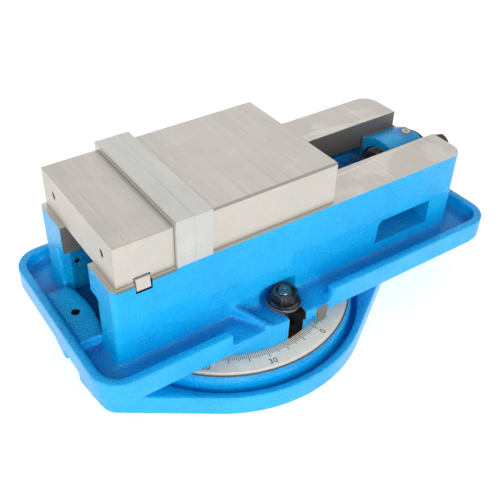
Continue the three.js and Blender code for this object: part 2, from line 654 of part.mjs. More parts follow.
function fixedJaw() {
  const { radius, length } = RAIL_SCREW;
  const railScrewTop = LIP_BOTTOM + length;
  const railHoles = railScrewPlaces().map(([x, y]) =>
    post(radius + GAP, JAW_BOTTOM - CUT, railScrewTop + THREAD_RUNOUT, x, y, SMALL));
  const stopHole = (side) => {
    const y = (side * STOP_HOLE_SPACING) / 2;
    const z = BED_TOP + STOP_HOLE_HEIGHT;
    return shaft(STOP_HOLE_RADIUS, FIXED_X0 - CUT, FIXED_X0 + STOP_HOLE_DEPTH, y, z, SMALL);
  };
  return cutBy(jawBlock(FIXED_X0, FIXED_FACE_X, FIXED_WIDTH, BED_TOP + FIXED_HEIGHT, JAW_EDGE), [
    keyway(),
    ...railHoles,
    ...bothSides(stopHole),
    ...bothSides((side) => plateScrewHole(side, -1)),
  ]);
}

// The tapped hole for a jaw plate's screw; facing is -1 in the fixed jaw and 1 in the moving one.
function plateScrewHole(side, facing) {
  const { radius, length, headHeight } = PLATE_SCREW;
  const face = facing < 0 ? FIXED_FACE_X : MOVING_FACE_X;
  const tip = face + facing * (length - (PLATE_THICKNESS - headHeight - HEAD_CLEARANCE) + THREAD_RUNOUT);
  const [x0, x1] = [face - facing * CUT, tip].sort((a, b) => a - b);
  return shaft(radius + GAP, x0, x1, (side * PLATE_SCREW_SPACING) / 2, PLATE_SCREW_Z, SMALL);
}

// A jaw plate; facing is -1 on the fixed jaw and 1 on the moving one.
function jawPlate(facing) {
  const clampFace = CLAMP_X + (facing * GAP) / 2;
  const backFace = clampFace + facing * PLATE_THICKNESS;
  const [x0, x1] = [clampFace, backFace].sort((a, b) => a - b);
  const { radius, head, headHeight } = PLATE_SCREW;
  const seat = clampFace + facing * (headHeight + HEAD_CLEARANCE);
  const bore = (side) => {
    const [h0, h1] = [clampFace - facing * CUT, seat].sort((a, b) => a - b);
    const y = (side * PLATE_SCREW_SPACING) / 2;
    return joined([
      shaft(head + HEAD_CLEARANCE / 2, h0, h1, y, PLATE_SCREW_Z, SMALL),
      shaft(radius + GAP, x0 - CUT, x1 + CUT, y, PLATE_SCREW_Z, SMALL),
    ]);
  };
  return cutBy(jawBlock(x0, x1, PLATE_WIDTH, BED_TOP + PLATE_HEIGHT, JAW_EDGE), bothSides(bore));
}

// The nut's head and the jaw's pocket share this outline: the front face leans over the half ball.
function lockOutline(bottom, top, rear, slack) {
  const front = (z) => LOCK_X - (z - LOCK_Z) * Math.tan(LOCK) - slack / Math.cos(LOCK);
  return [
    [front(bottom), bottom],
    [rear, bottom],
    [rear, top],
    [front(top), top],
  ];
}

function movingJaw() {
  const halfHead = NUT_HEAD_WIDTH / 2 + POCKET_CLEARANCE;
  const pocketTop = BED_TOP + NUT_HEAD_HEIGHT + POCKET_CLEARANCE;
  const pocketRear = MOVING_X1 - POCKET_REAR;
  const pocket = lockOutline(JAW_BOTTOM - CUT, pocketTop, pocketRear, POCKET_CLEARANCE);
  return cutBy(jawBlock(MOVING_FACE_X, MOVING_X1, MOVING_WIDTH, BED_TOP + MOVING_HEIGHT, MOVING_CHAMFER), [
    across(pocket, -halfHead, halfHead),
    solid(new THREE.SphereGeometry(LOCK_RADIUS + GAP, SMALL, SMALL / 2)).translate([LOCK_X, 0, LOCK_Z]),
    shaft(SET_SCREW_RADIUS + GAP, pocketRear - CUT, MOVING_X1 + CUT, 0, LOCK_Z, SMALL),
    ...bothSides((side) => plateScrewHole(side, 1)),
  ]);
}

function halfBall() {
  const away = new THREE.Vector3(-Math.cos(LOCK), 0, -Math.sin(LOCK));
  const ball = solid(new THREE.SphereGeometry(LOCK_RADIUS, SMALL, SMALL / 2));
  return ball.trimByPlane(away.toArray(), GAP).translate([LOCK_X, 0, LOCK_Z]);
}

function jawNut() {
  const wings = CAVITY_WIDTH / 2 - GAP;
  const stem = SLOT_WIDTH / 2 - GAP;
  const head = NUT_HEAD_WIDTH / 2;
  const bottom = SCREW_Z - SCREW_RADIUS - NUT_UNDER_SCREW;
  const headOutline = lockOutline(BED_TOP - CUT, BED_TOP + NUT_HEAD_HEIGHT, MOVING_X1 - NUT_HEAD_REAR, 0);
  return joined([
    block([NUT_X0, -wings, bottom], [NUT_X1, wings, LIP_BOTTOM - GAP]),
    block([NUT_X0, -stem, LIP_BOTTOM - CUT], [NUT_X1, stem, BED_TOP - GAP]),
    across(headOutline, -head, head),
  ]).subtract(shaft(SCREW_RADIUS + GAP, NUT_X0 - CUT, NUT_X1 + CUT, 0, SCREW_Z));
}

function nutSetScrew() {
  const x0 = MOVING_X1 - NUT_HEAD_REAR + GAP;
  const x1 = MOVING_X1 - SET_SCREW_INSET;
  const depth = SET_SCREW_RADIUS;
  const socket = hexagon(SET_SCREW_RADIUS, 0, depth + CUT).rotate([0, 90, 0]);
  const screw = shaft(SET_SCREW_RADIUS, x0, x1, 0, LOCK_Z, SMALL);
  return screw.subtract(socket.translate([x1 - depth, 0, LOCK_Z]));
}

// A key on one side, its outer end leaning in towards the top.
function jawKey(side) {
  const inner = SLOT_WIDTH / 2 + GAP;
  const outer = BODY_WIDTH / 2;
  const bar = along([
    [inner, KEY_BOTTOM],
    [outer, KEY_BOTTOM],
    [outer - KEY_BEVEL, KEY_TOP],
    [inner, KEY_TOP],
  ], -KEY_LENGTH_X / 2, KEY_LENGTH_X / 2);
  return side > 0 ? bar : bar.mirror([0, 1, 0]);
}

// ---------------------------------------------------------------- fasteners

// A socket-head cap screw along Z: its head above z = 0 and its shank below.
function capScrew({ radius, head, headHeight, across: flats, length }) {
  const socket = hexagon(flats, headHeight * (1 - SOCKET_SHARE), headHeight + CUT);
  return post(radius, -length, 1, 0, 0, SMALL).add(post(head, 0, headHeight, 0, 0, SMALL)).subtract(socket);
}

function tBolt() {
  const half = T_HEAD / 2;
  const top = T_TOP - GAP;
  const head = block([-half, -half, top - T_HEAD_HEIGHT], [half, half, top]);
  return head.add(post(STUD_RADIUS, top - CUT, STUD_TOP));
}

function washer() {
  const hole = post(STUD_RADIUS + GAP, -CUT, WASHER_THICKNESS + CUT);
  return post(WASHER_RADIUS, 0, WASHER_THICKNESS).subtract(hole);
}

// A hexagon nut with a flange, its corners chamfered at the top.
function clampNut() {
  const corner = NUT_ACROSS_FLATS / Math.sqrt(3);
  const crown = turned([
    [0, 0],
    [corner, 0],
    [corner, NUT_HEIGHT - NUT_CROWN],
    [corner - NUT_CROWN_WIDTH, NUT_HEIGHT],
    [0, NUT_HEIGHT],
  ]);
  const flange = turned([
    [0, 0],
    [NUT_FLANGE_RADIUS, 0],
    [NUT_FLANGE_RADIUS, NUT_FLANGE_HEIGHT / 2],
    [corner - NUT_CROWN, NUT_FLANGE_HEIGHT],
    [0, NUT_FLANGE_HEIGHT],
  ]);
  const body = hexagon(NUT_ACROSS_FLATS, 0, NUT_HEIGHT).intersect(crown).add(flange);
  return body.subtract(post(STUD_RADIUS + GAP, -CUT, NUT_HEIGHT + CUT));
}

// ---------------------------------------------------------------- clamping screw

function leadScrew() {
  const hexX0 = SCREW_X1 - HEX_LENGTH;
  const bar = turnedOnScrew([
    [0, SCREW_X0],
    [SCREW_RADIUS - SCREW_LEAD_IN, SCREW_X0],
    [SCREW_RADIUS, SCREW_X0 + SCREW_LEAD_IN],
    [SCREW_RADIUS, FLANGE_X0],
    [FLANGE_RADIUS, FLANGE_X0],
    [FLANGE_RADIUS, FLANGE_X0 + FLANGE_THICKNESS],
    [SCREW_RADIUS, FLANGE_X0 + FLANGE_THICKNESS],
    [SCREW_RADIUS, hexX0],
    [0, hexX0],
  ]);
  const corner = HEX_ACROSS_FLATS / Math.sqrt(3);
  const nose = turnedOnScrew([
    [0, hexX0 - CUT],
    [corner, hexX0 - CUT],
    [corner, SCREW_X1 - HEX_CHAMFER],
    [corner - HEX_CHAMFER, SCREW_X1],
    [0, SCREW_X1],
  ]);
  const hex = hexagon(HEX_ACROSS_FLATS, hexX0 - CUT, SCREW_X1).rotate([0, 90, 0]).translate([0, 0, SCREW_Z]);
  return bar.add(hex.intersect(nose));
}

function bearingRing(inner, outer, x0, x1) {
  return turnedOnScrew([[inner, x0], [outer, x0], [outer, x1], [inner, x1], [inner, x0]]);
}

const thrustRace = (x0) => bearingRing(SCREW_RADIUS + GAP, BEARING_OUTER, x0, x0 + RACE_THICKNESS);

// The bearing's balls, held in their cage.
function ballCage() {
  const half = CAGE_THICKNESS / 2;
  const cage = bearingRing(BALL_CIRCLE - CAGE_BAND, BALL_CIRCLE + CAGE_BAND, BALLS_X - half, BALLS_X + half);
  const balls = Array.from({ length: BALL_COUNT }, (_, i) => {
    const angle = (2 * Math.PI * i) / BALL_COUNT;
    const ball = new THREE.SphereGeometry(BALL_RADIUS, BALL_SIDES, BALL_SIDES / 2);
    const [y, z] = [BALL_CIRCLE * Math.cos(angle), BALL_CIRCLE * Math.sin(angle)];
    return solid(ball.translate(BALLS_X, y, SCREW_Z + z));
  });
  return joined([cage, ...balls]);
}

const bush = () => bearingRing(SCREW_RADIUS + GAP, BUSH_RADIUS, BEARING_SEAT_X, BODY_X1 - GAP);

function collar() {
  const x1 = COLLAR_X0 + COLLAR_WIDTH;
  const ring = turnedOnScrew([
    [SCREW_RADIUS + GAP, COLLAR_X0],
    [COLLAR_RADIUS - COLLAR_CHAMFER, COLLAR_X0],
    [COLLAR_RADIUS, COLLAR_X0 + COLLAR_CHAMFER],
    [COLLAR_RADIUS, x1 - COLLAR_CHAMFER],
    [COLLAR_RADIUS - COLLAR_CHAMFER, x1],
    [SCREW_RADIUS + GAP, x1],
    [SCREW_RADIUS + GAP, COLLAR_X0],
  ], COLLAR_SIDES);
  const radius = COLLAR_SCREW_RADIUS + GAP;
  const hole = new THREE.CylinderGeometry(radius, radius, COLLAR_RADIUS, SMALL);
  const x = (COLLAR_X0 + x1) / 2;
  return ring.subtract(solid(hole.translate(x, COLLAR_RADIUS / 2 + SCREW_RADIUS, SCREW_Z)));
}

function collarSetScrew() {
  const seat = COLLAR_SCREW_LENGTH - COLLAR_SCREW_RADIUS;
  const socket = hexagon(COLLAR_SCREW_RADIUS, seat, COLLAR_SCREW_LENGTH + CUT);
  return post(COLLAR_SCREW_RADIUS, 0, COLLAR_SCREW_LENGTH, 0, 0, SMALL).subtract(socket);
}

// ---------------------------------------------------------------- oiler

function oilerCup() {
  const stemBottom = SCREW_Z + BUSH_RADIUS + OILER_STEM_RELIEF;
  const top = OILER_SEAT + OILER_HEAD;
  const cup = turned([
    [0, stemBottom],
    [OILER_STEM, stemBottom],
    [OILER_STEM, OILER_SEAT],
    [OILER_RADIUS, OILER_SEAT],
    [OILER_RADIUS, top - OILER_EDGE],
    [OILER_RADIUS - OILER_EDGE, top],
    [0, top],
  ], SMALL);
  return cup.subtract(post(OILER_BALL + GAP, top - OILER_BALL * 2, top + CUT, 0, 0, SMALL));
}

const oilerBall = () => solid(new THREE.SphereGeometry(OILER_BALL, BALL_SIDES, BALL_SIDES / 2));

// ---------------------------------------------------------------- assembly

const vise = new THREE.Group();

const baseGroup = new THREE.Group();
baseGroup.add(piece("swivel_base", swivelBase(), paint), piece("pivot_pin", pivotPin(), ground));

const bodyGroup = new THREE.Group();
bodyGroup.add(
  piece("vise_body", viseBody(), paint),
  piece("fixed_jaw", fixedJaw(), ground),
  piece("fixed_jaw_plate", jawPlate(-1), hardened),
  piece("screw_bush", bush(), bronze),
  piece("thrust_race_rear", thrustRace(REAR_RACE_X0), polished),
  placed(piece("oiler_cup", oilerCup(), brass), OILER_X, 0, 0),
  placed(piece("oiler_ball", oilerBall(), polished), OILER_X, 0, OILER_SEAT + OILER_HEAD - OILER_BALL),
);

const jawGroup = new THREE.Group();
jawGroup.add(
  piece("moving_jaw", movingJaw(), ground),
  piece("moving_jaw_plate", jawPlate(1), hardened),
  piece("jaw_nut", jawNut(), paint),
  piece("lock_half_ball", halfBall(), hardened),
  piece("nut_set_screw", nutSetScrew(), blackOxide),
);

const screwGroup = new THREE.Group();
const collarScrew = piece("collar_set_screw", collarSetScrew(), blackOxide);
collarScrew.rotation.x = -Math.PI / 2;
screwGroup.add(
  piece("lead_screw", leadScrew(), phosphate),
  piece("thrust_race_front", thrustRace(FRONT_RACE_X0), polished),
  piece("thrust_ball_cage", ballCage(), polished),
  piece("screw_collar", collar(), phosphate),
  placed(collarScrew, COLLAR_X0 + COLLAR_WIDTH / 2, SCREW_RADIUS + GAP, SCREW_Z),
);

for (const [label, side] of [["front", -1], ["back", 1]]) {
  const radial = Math.atan2(side * STUD_Y, STUD_X);
  const bolt = piece("t_bolt_" + label, tBolt(), blackOxide);
  bolt.rotation.z = radial;
  const nut = piece("clamp_nut_" + label, clampNut(), blackOxide);
  nut.rotation.z = THREE.MathUtils.degToRad(NUT_TURN_DEG) * side;
  bodyGroup.add(
    placed(bolt, STUD_X, side * STUD_Y, 0),
    placed(piece("clamp_washer_" + label, washer(), blackOxide), STUD_X, side * STUD_Y, WASHER_BOTTOM),
    placed(nut, STUD_X, side * STUD_Y, CLAMP_NUT_BOTTOM),
    placed(piece("jaw_key_" + label, jawKey(side), ground), KEY_CENTRE_X, 0, 0),
  );
  RAIL_SCREW_OFFSETS.forEach((offset, row) => {
    const screw = piece(`fixed_jaw_screw_${label}_${row + 1}`, capScrew(RAIL_SCREW), blackOxide);
    screw.rotation.x = Math.PI;
    bodyGroup.add(placed(screw, FIXED_X0 + offset, (side * RAIL_SCREW_SPACING) / 2, LIP_BOTTOM - GAP));
  });
  for (const [jaw, facing, group] of [["fixed", -1, bodyGroup], ["moving", 1, jawGroup]]) {
    const screw = piece(`${jaw}_plate_screw_${label}`, capScrew(PLATE_SCREW), blackOxide);
    screw.rotation.y = (-facing * Math.PI) / 2;
    const seat = CLAMP_X + facing * (GAP / 2 + PLATE_SCREW.headHeight + HEAD_CLEARANCE - GAP);
    group.add(placed(screw, seat, (side * PLATE_SCREW_SPACING) / 2, PLATE_SCREW_Z));
  }
}

vise.add(baseGroup, bodyGroup, jawGroup, screwGroup);
export default vise;
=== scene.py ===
"""An angle-lock machine vise on a graduated swivel base, built round its CAD frame."""

import math

import bmesh
import bpy
import numpy as np
from bpy.props import FloatProperty, FloatVectorProperty, IntProperty, PointerProperty
from mathutils import Matrix, Vector


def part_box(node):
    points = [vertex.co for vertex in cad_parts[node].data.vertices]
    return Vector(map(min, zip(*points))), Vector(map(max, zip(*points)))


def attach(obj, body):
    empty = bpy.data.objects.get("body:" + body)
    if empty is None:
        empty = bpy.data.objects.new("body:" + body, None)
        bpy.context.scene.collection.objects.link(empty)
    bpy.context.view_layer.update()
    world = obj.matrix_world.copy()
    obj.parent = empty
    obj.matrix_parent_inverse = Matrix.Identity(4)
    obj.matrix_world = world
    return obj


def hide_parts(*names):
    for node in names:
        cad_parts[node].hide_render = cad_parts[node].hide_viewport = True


bl_info = {
    "name": "Machine Vise",
    "version": (1, 0, 0),
    "blender": (4, 5, 0),
    "location": "View3D > Sidebar > Vise",
    "description": "Builds a machine vise with its castings, jaws, screw, clamps and degree scale",
    "category": "Object",
}

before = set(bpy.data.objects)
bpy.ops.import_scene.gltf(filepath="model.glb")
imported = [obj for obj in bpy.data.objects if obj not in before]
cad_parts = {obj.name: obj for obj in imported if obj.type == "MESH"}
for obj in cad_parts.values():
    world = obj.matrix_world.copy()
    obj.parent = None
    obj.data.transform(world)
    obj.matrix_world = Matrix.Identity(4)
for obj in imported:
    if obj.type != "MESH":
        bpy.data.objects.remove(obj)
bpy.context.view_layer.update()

MM = 0.001
QUARTER = math.pi / 2
FULL = 2 * math.pi


# ---------------------------------------------------------------- places, in millimetres


def extent(node):
    """Lowest and highest corner of a CAD node, in millimetres."""
    low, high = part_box(node)
    return low / MM, high / MM


BASE_HIGH = extent("swivel_base")[1]
BODY_LOW, BODY_HIGH = extent("vise_body")
FIXED_LOW, FIXED_HIGH = extent("fixed_jaw")
MOVING_LOW, MOVING_HIGH = extent("moving_jaw")
FIXED_PLATE_LOW, FIXED_PLATE_HIGH = extent("fixed_jaw_plate")
MOVING_PLATE_LOW, MOVING_PLATE_HIGH = extent("moving_jaw_plate")
NUT_LOW, NUT_HIGH = extent("jaw_nut")
SCREW_LOW, SCREW_HIGH = extent("lead_screw")
COLLAR_LOW, COLLAR_HIGH = extent("screw_collar")
WASHER_LOW, WASHER_HIGH = extent("clamp_washer_front")
KEY_LOW, KEY_HIGH = extent("jaw_key_back")
BUSH_LOW, BUSH_HIGH = extent("screw_bush")
OILER_LOW, OILER_HIGH = extent("oiler_cup")
PIVOT_LOW, PIVOT_HIGH = extent("pivot_pin")

# Swivel base
RING_TOP = BASE_HIGH.z
RING_RADIUS = 138.8
RIM_RADIUS = BASE_HIGH.y
RIM_INNER = RIM_RADIUS - 8
RIM_TOP = 22.5
SHOULDER_RADIUS = RIM_INNER - 7
GUTTER_FLOOR = 12
LUG_TOP = 23.5
LUG_REACH = BASE_HIGH.x
LUG_CORNER = 20
LUG_END_RADIUS = 420
LUG_FLANK = math.radians(33.4)
T_RADIUS = 91.5
T_NECK = 18.5
T_WIDTH = 32
T_TOP = RING_TOP - 13.4
T_BOTTOM = T_TOP - 12
TICK_START, TICK_END, FIVE_END, TEN_END = 112.5, 120.4, 122.4, 124.6
NUMBER_RADIUS = 130.2
ZERO_OFFSET = math.radians(2.4)  # from the index pad's middle to the scale's zero

# Body casting
BED_TOP = BODY_HIGH.z
TRAY_HALF = BODY_HIGH.y
TRAY_X0, TRAY_X1 = BODY_LOW.x, BODY_HIGH.x
BOSS_BOTTOM = BODY_LOW.z
BOSS_RADIUS = 113.5
TRAY_BOTTOM = BOSS_BOTTOM + 17.5
TRAY_FLOOR = TRAY_BOTTOM + 11.3
TRAY_RIM_TOP = TRAY_FLOOR + 14.4
TRAY_RIM = 9.2
TRAY_CORNER = 30
TRAY_EDGE = TRAY_HALF - TRAY_RIM
NOTCH_HALF = 60
WALL_HALF = 79.7
WALL_X0 = TRAY_X0 + 31.5
WALL_X1 = COLLAR_LOW.x - 0.3
SLOT_HALF = 31.15
CAVITY_HALF = 45
CAVITY_FLOOR = TRAY_FLOOR - 1.5
LIP_BOTTOM = BED_TOP - 32
PLATFORM_HALF = 41.5
PLATFORM_TOP = TRAY_FLOOR + 10.5
HOUSING_X0 = WALL_X1 - 56.2
HOUSING_RADIUS = 38
FRONT_X = HOUSING_X0 + 7  # the housing's front face, which leaves the screw's flange in sight
SHELF_TOP = BED_TOP - 17
BEARING_BORE = 27.5
BEARING_SEAT = BUSH_LOW.x
INDEX_LOW, INDEX_HIGH = 39.5, 54.0
KEYWAY_X0, KEYWAY_X1 = KEY_LOW.x - 1, KEY_HIGH.x + 1
WINDOW_X0, WINDOW_X1 = WALL_X1 - 121, WALL_X1 - 43
WINDOW_Z0, WINDOW_Z1 = TRAY_FLOOR + 13.5, TRAY_FLOOR + 42.5

# Screw, studs and locks
SCREW_Z = (SCREW_LOW.z + SCREW_HIGH.z) / 2
SCREW_RADIUS = 14
SCREW_BORE = SCREW_RADIUS + 0.3
STUD_X = (WASHER_LOW.x + WASHER_HIGH.x) / 2
STUD_Y = abs(WASHER_LOW.y + WASHER_HIGH.y) / 2
STUD_RADIUS = 8
LOCK_X, LOCK_Z = MOVING_HIGH.x - 91.3, BED_TOP + 18
PLATE_SCREW_Z = BED_TOP + 25
PLATE_SCREW_Y = 50
PLATE_SCREW_HOLE, PLATE_SCREW_SEAT = 5.3, 8.5
STOP_HOLE_Y, STOP_HOLE_Z = 51.8, BED_TOP + 24
RAIL_SCREW_Y = 58
RAIL_SCREW_HOLE = 6.3
STUD_SLOT = 10.5
WRENCH_FLATS = 24
RAIL_SCREW_X = (FIXED_LOW.x + 9, FIXED_LOW.x + 46)
MARGIN = 3  # how far a cut runs past the metal
FAR = 400  # past everything
PLAY = 0.3
# Spreading darkens hollows: partly enamel that gathers there, partly painted shade.
SPREAD_STEPS = 90  # rounds of spreading a corner's darker enamel over the mesh
EDGE_GAIN, HOLLOW_GAIN = 2.4, 9  # how strongly a corner counts as an edge and as a hollow


def linear(red, green, blue):
    """A display colour from 0 to 255, as Blender's linear light."""
    parts = (value / 255 for value in (red, green, blue))
    return tuple(p / 12.92 if p <= 0.04045 else ((p + 0.055) / 1.055) ** 2.4 for p in parts)


# ---------------------------------------------------------------- what a user may change


def colour(name, description, default):
    return FloatVectorProperty(
        name=name, description=description, default=default, size=3, min=0, max=1, subtype="COLOR"
    )


def length(name, description, default, low, high):
    return FloatProperty(
        name=name, description=description, default=default * MM, min=low * MM, max=high * MM,
        unit="LENGTH", precision=5,
    )


class ViseSizes(bpy.types.PropertyGroup):
    """Sizes that don't change how the vise fits together."""

    body_grain: length("Body skin", "Mesh size of the body's cast skin", 1.75, 1, 5)
    base_grain: length("Base skin", "Mesh size of the base's cast skin", 1.7, 1, 5)
    softness: IntProperty(
        name="Softness", description="How far the casting's corners are rounded", default=6, min=1, max=20
    )
    fillet: length("Fillet", "Radius between the walls and the tray", 5, 1, 12)
    tick_width: length("Tick width", "Width of a degree line", 0.58, 0.1, 1)
    numeral_height: length("Numerals", "Height of the degree numbers", 7.4, 3, 10)
    screw_pitch: length("Screw pitch", "Pitch of the clamping screw", 5, 2, 8)
    stud_pitch: length("Stud pitch", "Pitch of the clamp bolts", 2, 1, 3)


class ViseFinishes(bpy.types.PropertyGroup):
    """Colours and strength of the finishes."""

    enamel: colour("Enamel", "Blue enamel of the castings", linear(0, 182, 250))
    # The shade colour darkens hollows on upward faces: partly enamel that gathers there, partly painted
    # shade.
    enamel_shade: colour("Shaded enamel", "Enamel where it pools, darker still as painted shade in hollows", linear(0, 106, 192))
    iron: colour("Iron", "Cast iron under chipped enamel", linear(96, 88, 80))
    steel: colour("Ground steel", "Bed, jaws and scale", linear(206, 201, 193))
    plate: colour("Hardened steel", "Jaw plates", linear(200, 200, 196))
    oxide: colour("Black oxide", "Bolts and nuts", linear(36, 36, 38))
    phosphate: colour("Phosphate", "Clamping screw", linear(70, 70, 72))
    bronze: colour("Bronze", "Screw bush", linear(176, 132, 84))
    brass: colour("Brass", "Oiler", linear(222, 206, 160))
    # Wear also widens the lightened edges, which are partly a painted highlight.
    wear: FloatProperty(name="Wear", description="Chips along edges", default=0.5, min=0, max=1)
    peel: length("Orange peel", "Depth of the enamel's ripple", 0.95, 0, 1)


# ---------------------------------------------------------------- wiring of the finishes


class Wiring:
    """A node tree with short calls for the nodes that the finishes use."""

    def __init__(self, tree):
        self.tree = tree

    def add(self, kind, settings=None, **inputs):
        node = self.tree.nodes.new("ShaderNode" + kind)
        for name, value in (settings or {}).items():
            setattr(node, name, value)
        self.feed_all(node.inputs, **inputs)
        return node

    def feed(self, socket, value):
        if isinstance(value, bpy.types.NodeSocket):
            self.tree.links.new(value, socket)
        elif hasattr(value, "__len__") and socket.type == "RGBA" and len(value) == 3:
            socket.default_value = (*value, 1)
        else:
            socket.default_value = value

    def feed_all(self, sockets, **values):
        """Feeds sockets by name, with an underscore for each space."""
        for name, value in values.items():
            self.feed(sockets[name.replace("_", " ")], value)

    def reckon(self, operation, first, second):
        node = self.tree.nodes.new("ShaderNodeMath")
        node.operation = operation
        self.feed(node.inputs[0], first)
        self.feed(node.inputs[1], second)
        return node.outputs[0]

    def times(self, first, second):
        return self.reckon("MULTIPLY", first, second)

    def plus(self, first, second):
        return self.reckon("ADD", first, second)

    def minus(self, first, second):
        return self.reckon("SUBTRACT", first, second)

    def noise(self, vector, scale, detail=3.0, roughness=0.5):
        return self.add("TexNoise", Vector=vector, Scale=scale, Detail=detail, Roughness=roughness).outputs[0]

    def band(self, value, low, high, out_low=0.0, out_high=1.0):
        """value from low to high, spread from out_low to out_high."""
        return self.add(
            "MapRange", {"interpolation_type": "SMOOTHSTEP"},
            Value=value, From_Min=low, From_Max=high, To_Min=out_low, To_Max=out_high,
        ).outputs[0]

    def mix(self, share, first, second):
        node = self.tree.nodes.new("ShaderNodeMix")
        node.data_type = "RGBA"
        self.feed(node.inputs[0], share)
        self.feed(node.inputs[6], first)
        self.feed(node.inputs[7], second)
        return node.outputs[2]

    def effect(self, name, **inputs):
        """The outputs of one of the shop's effect groups."""
        return self.add("Group", {"node_tree": FinishShop.group(name)}, **inputs).outputs


def effect_group(name, inputs, outputs):
    """An empty shader node group with named number inputs and outputs."""
    tree = bpy.data.node_groups.new(name, "ShaderNodeTree")
    tree.interface.new_socket("Position", in_out="INPUT", socket_type="NodeSocketVector")
    for label, default in inputs.items():
        socket = tree.interface.new_socket(label, in_out="INPUT", socket_type="NodeSocketFloat")
        socket.default_value = default
    for label in outputs:
        tree.interface.new_socket(label, in_out="OUTPUT", socket_type="NodeSocketFloat")
    source = tree.nodes.new("NodeGroupInput").outputs
    drain = tree.nodes.new("NodeGroupOutput").inputs
    return tree, Wiring(tree), source, drain


def edge_wear_group():
    """Chips and rubbed spots that gather along outward edges; the finishes lighten the rubbed spots, partly
    as wear and partly as a painted highlight.
    """
    tree, wire, source, drain = effect_group(
        "Edge Wear and Highlight", {"Amount": 0.5, "Size": 220.0}, ("Rubbed", "Chipped")
    )
    edge = wire.add("Attribute", {"attribute_name": "outward_edge"}).outputs["Fac"]
    patches = wire.noise(source["Position"], source["Size"], 4.0, 0.6)
    districts = wire.noise(source["Position"], 21.0, 2.0)
    reach = wire.times(source["Amount"], wire.band(districts, 0.42, 0.68))
    strength = wire.plus(wire.times(edge, 0.8), wire.times(patches, 0.75))
    limit = wire.minus(1.3, wire.times(reach, 0.75))
    over = wire.minus(strength, limit)
    wire.feed_all(drain, Chipped=wire.band(over, 0.0, 0.03), Rubbed=wire.band(over, -0.3, 0.02))
    return tree


def cast_skin_group():
    """The ripple, dimples and slow unevenness of enamel on sand-cast iron, and darker hollows on upward
    faces, partly enamel that gathers there and partly painted shade.
    """
    tree, wire, source, drain = effect_group(
        "Cast Skin and Shade", {"Grain": 720.0, "Dimples": 330.0}, ("Height", "Mottle", "Pooling", "Fleck")
    )
    ripple = wire.noise(source["Position"], source["Grain"], 3.0, 0.45)
    sand = wire.noise(source["Position"], source["Dimples"], 4.0, 0.6)
    slow = wire.noise(source["Position"], 24.0, 2.0)
    coarse = wire.plus(wire.times(sand, 1.6), wire.times(slow, 3.0))
    hollow = wire.add("Attribute", {"attribute_name": "hollow"}).outputs["Fac"]
    up = wire.add("SeparateXYZ", Vector=wire.add("NewGeometry").outputs["Normal"]).outputs[2]
    wire.feed_all(
        drain,
        Height=wire.plus(ripple, coarse),
        Mottle=wire.band(slow, 0.3, 0.7),
        Fleck=wire.band(ripple, 0.5, 0.7),
        # Hollows facing upwards darken: partly enamel that gathers there, partly painted shade.
        Pooling=wire.times(hollow, wire.band(up, 0.2, 0.9, 0.15, 1.0)),
    )
    return tree


def grinding_group():
    """Fine parallel lines left by a grinder, and slow clouding; Turned lays them the other way."""
    tree, wire, source, drain = effect_group(
        "Grinding", {"Along": 8.0, "Across": 900.0, "Turned": 0.0}, ("Lines", "Cloud")
    )
    spot = wire.add("SeparateXYZ", Vector=source["Position"]).outputs
    up = wire.times(spot[2], source["Across"])
    lay = []
    for over_x, over_y in (("Across", "Along"), ("Along", "Across")):
        x, y = wire.times(spot[0], source[over_x]), wire.times(spot[1], source[over_y])
        lay.append(wire.noise(wire.add("CombineXYZ", X=x, Y=y, Z=up).outputs[0], 1.0, 3.0, 0.7))
    difference = wire.minus(lay[1], lay[0])
    wire.feed_all(
        drain,
        Lines=wire.plus(lay[0], wire.times(difference, source["Turned"])),
        Cloud=wire.noise(source["Position"], 34.0, 4.0, 0.6),
    )
    return tree


def handling_group():
    """Oil smears and specks."""
    tree, wire, source, drain = effect_group("Handling", {"Density": 0.5}, ("Smear", "Specks"))
    smear = wire.noise(source["Position"], 13.0, 5.0, 0.62)
    specks = wire.add("TexVoronoi", Vector=source["Position"], Scale=190.0).outputs["Distance"]
    clusters = wire.noise(source["Position"], 30.0, 2.0)
    near = wire.band(specks, 0.16, 0.04)
    wire.feed_all(
        drain,
        Smear=wire.band(smear, 0.5, 0.72, 0.0, source["Density"]),
        Specks=wire.times(near, wire.band(clusters, 0.56, 0.7)),
    )
    return tree


class FinishShop:
    """Builds each finish once and hands it out by name."""

    groups = {}
    made = {}

    @classmethod
    def group(cls, name):
        makers = {
            "edge": edge_wear_group, "skin": cast_skin_group,
            "grind": grinding_group, "handling": handling_group,
        }
        if name not in cls.groups:
            cls.groups[name] = makers[name]()
        return cls.groups[name]

    @classmethod
    def get(cls, name):
        if name not in cls.made:
            cls.made[name] = FINISHES[name](bpy.context.scene.vise_finishes)
        return cls.made[name]


def blank_finish(name, **steady):
    """A material with its steady values set; returns it, its wiring, its shader's sockets and position."""
    material = bpy.data.materials.new(name)
    material.use_nodes = True
    wire = Wiring(material.node_tree)
    shader = material.node_tree.nodes["Principled BSDF"].inputs
    wire.feed_all(shader, **steady)
    return material, wire, shader, wire.add("TexCoord").outputs["Object"]


def bumped(wire, height, distance):
    return wire.add("Bump", Height=height, Distance=distance).outputs["Normal"]


def scaled(tone, share, extra=0.0):
    """A colour made darker or lighter, kept at white at most."""
    return tuple(min(1.0, part * share + extra) for part in tone)


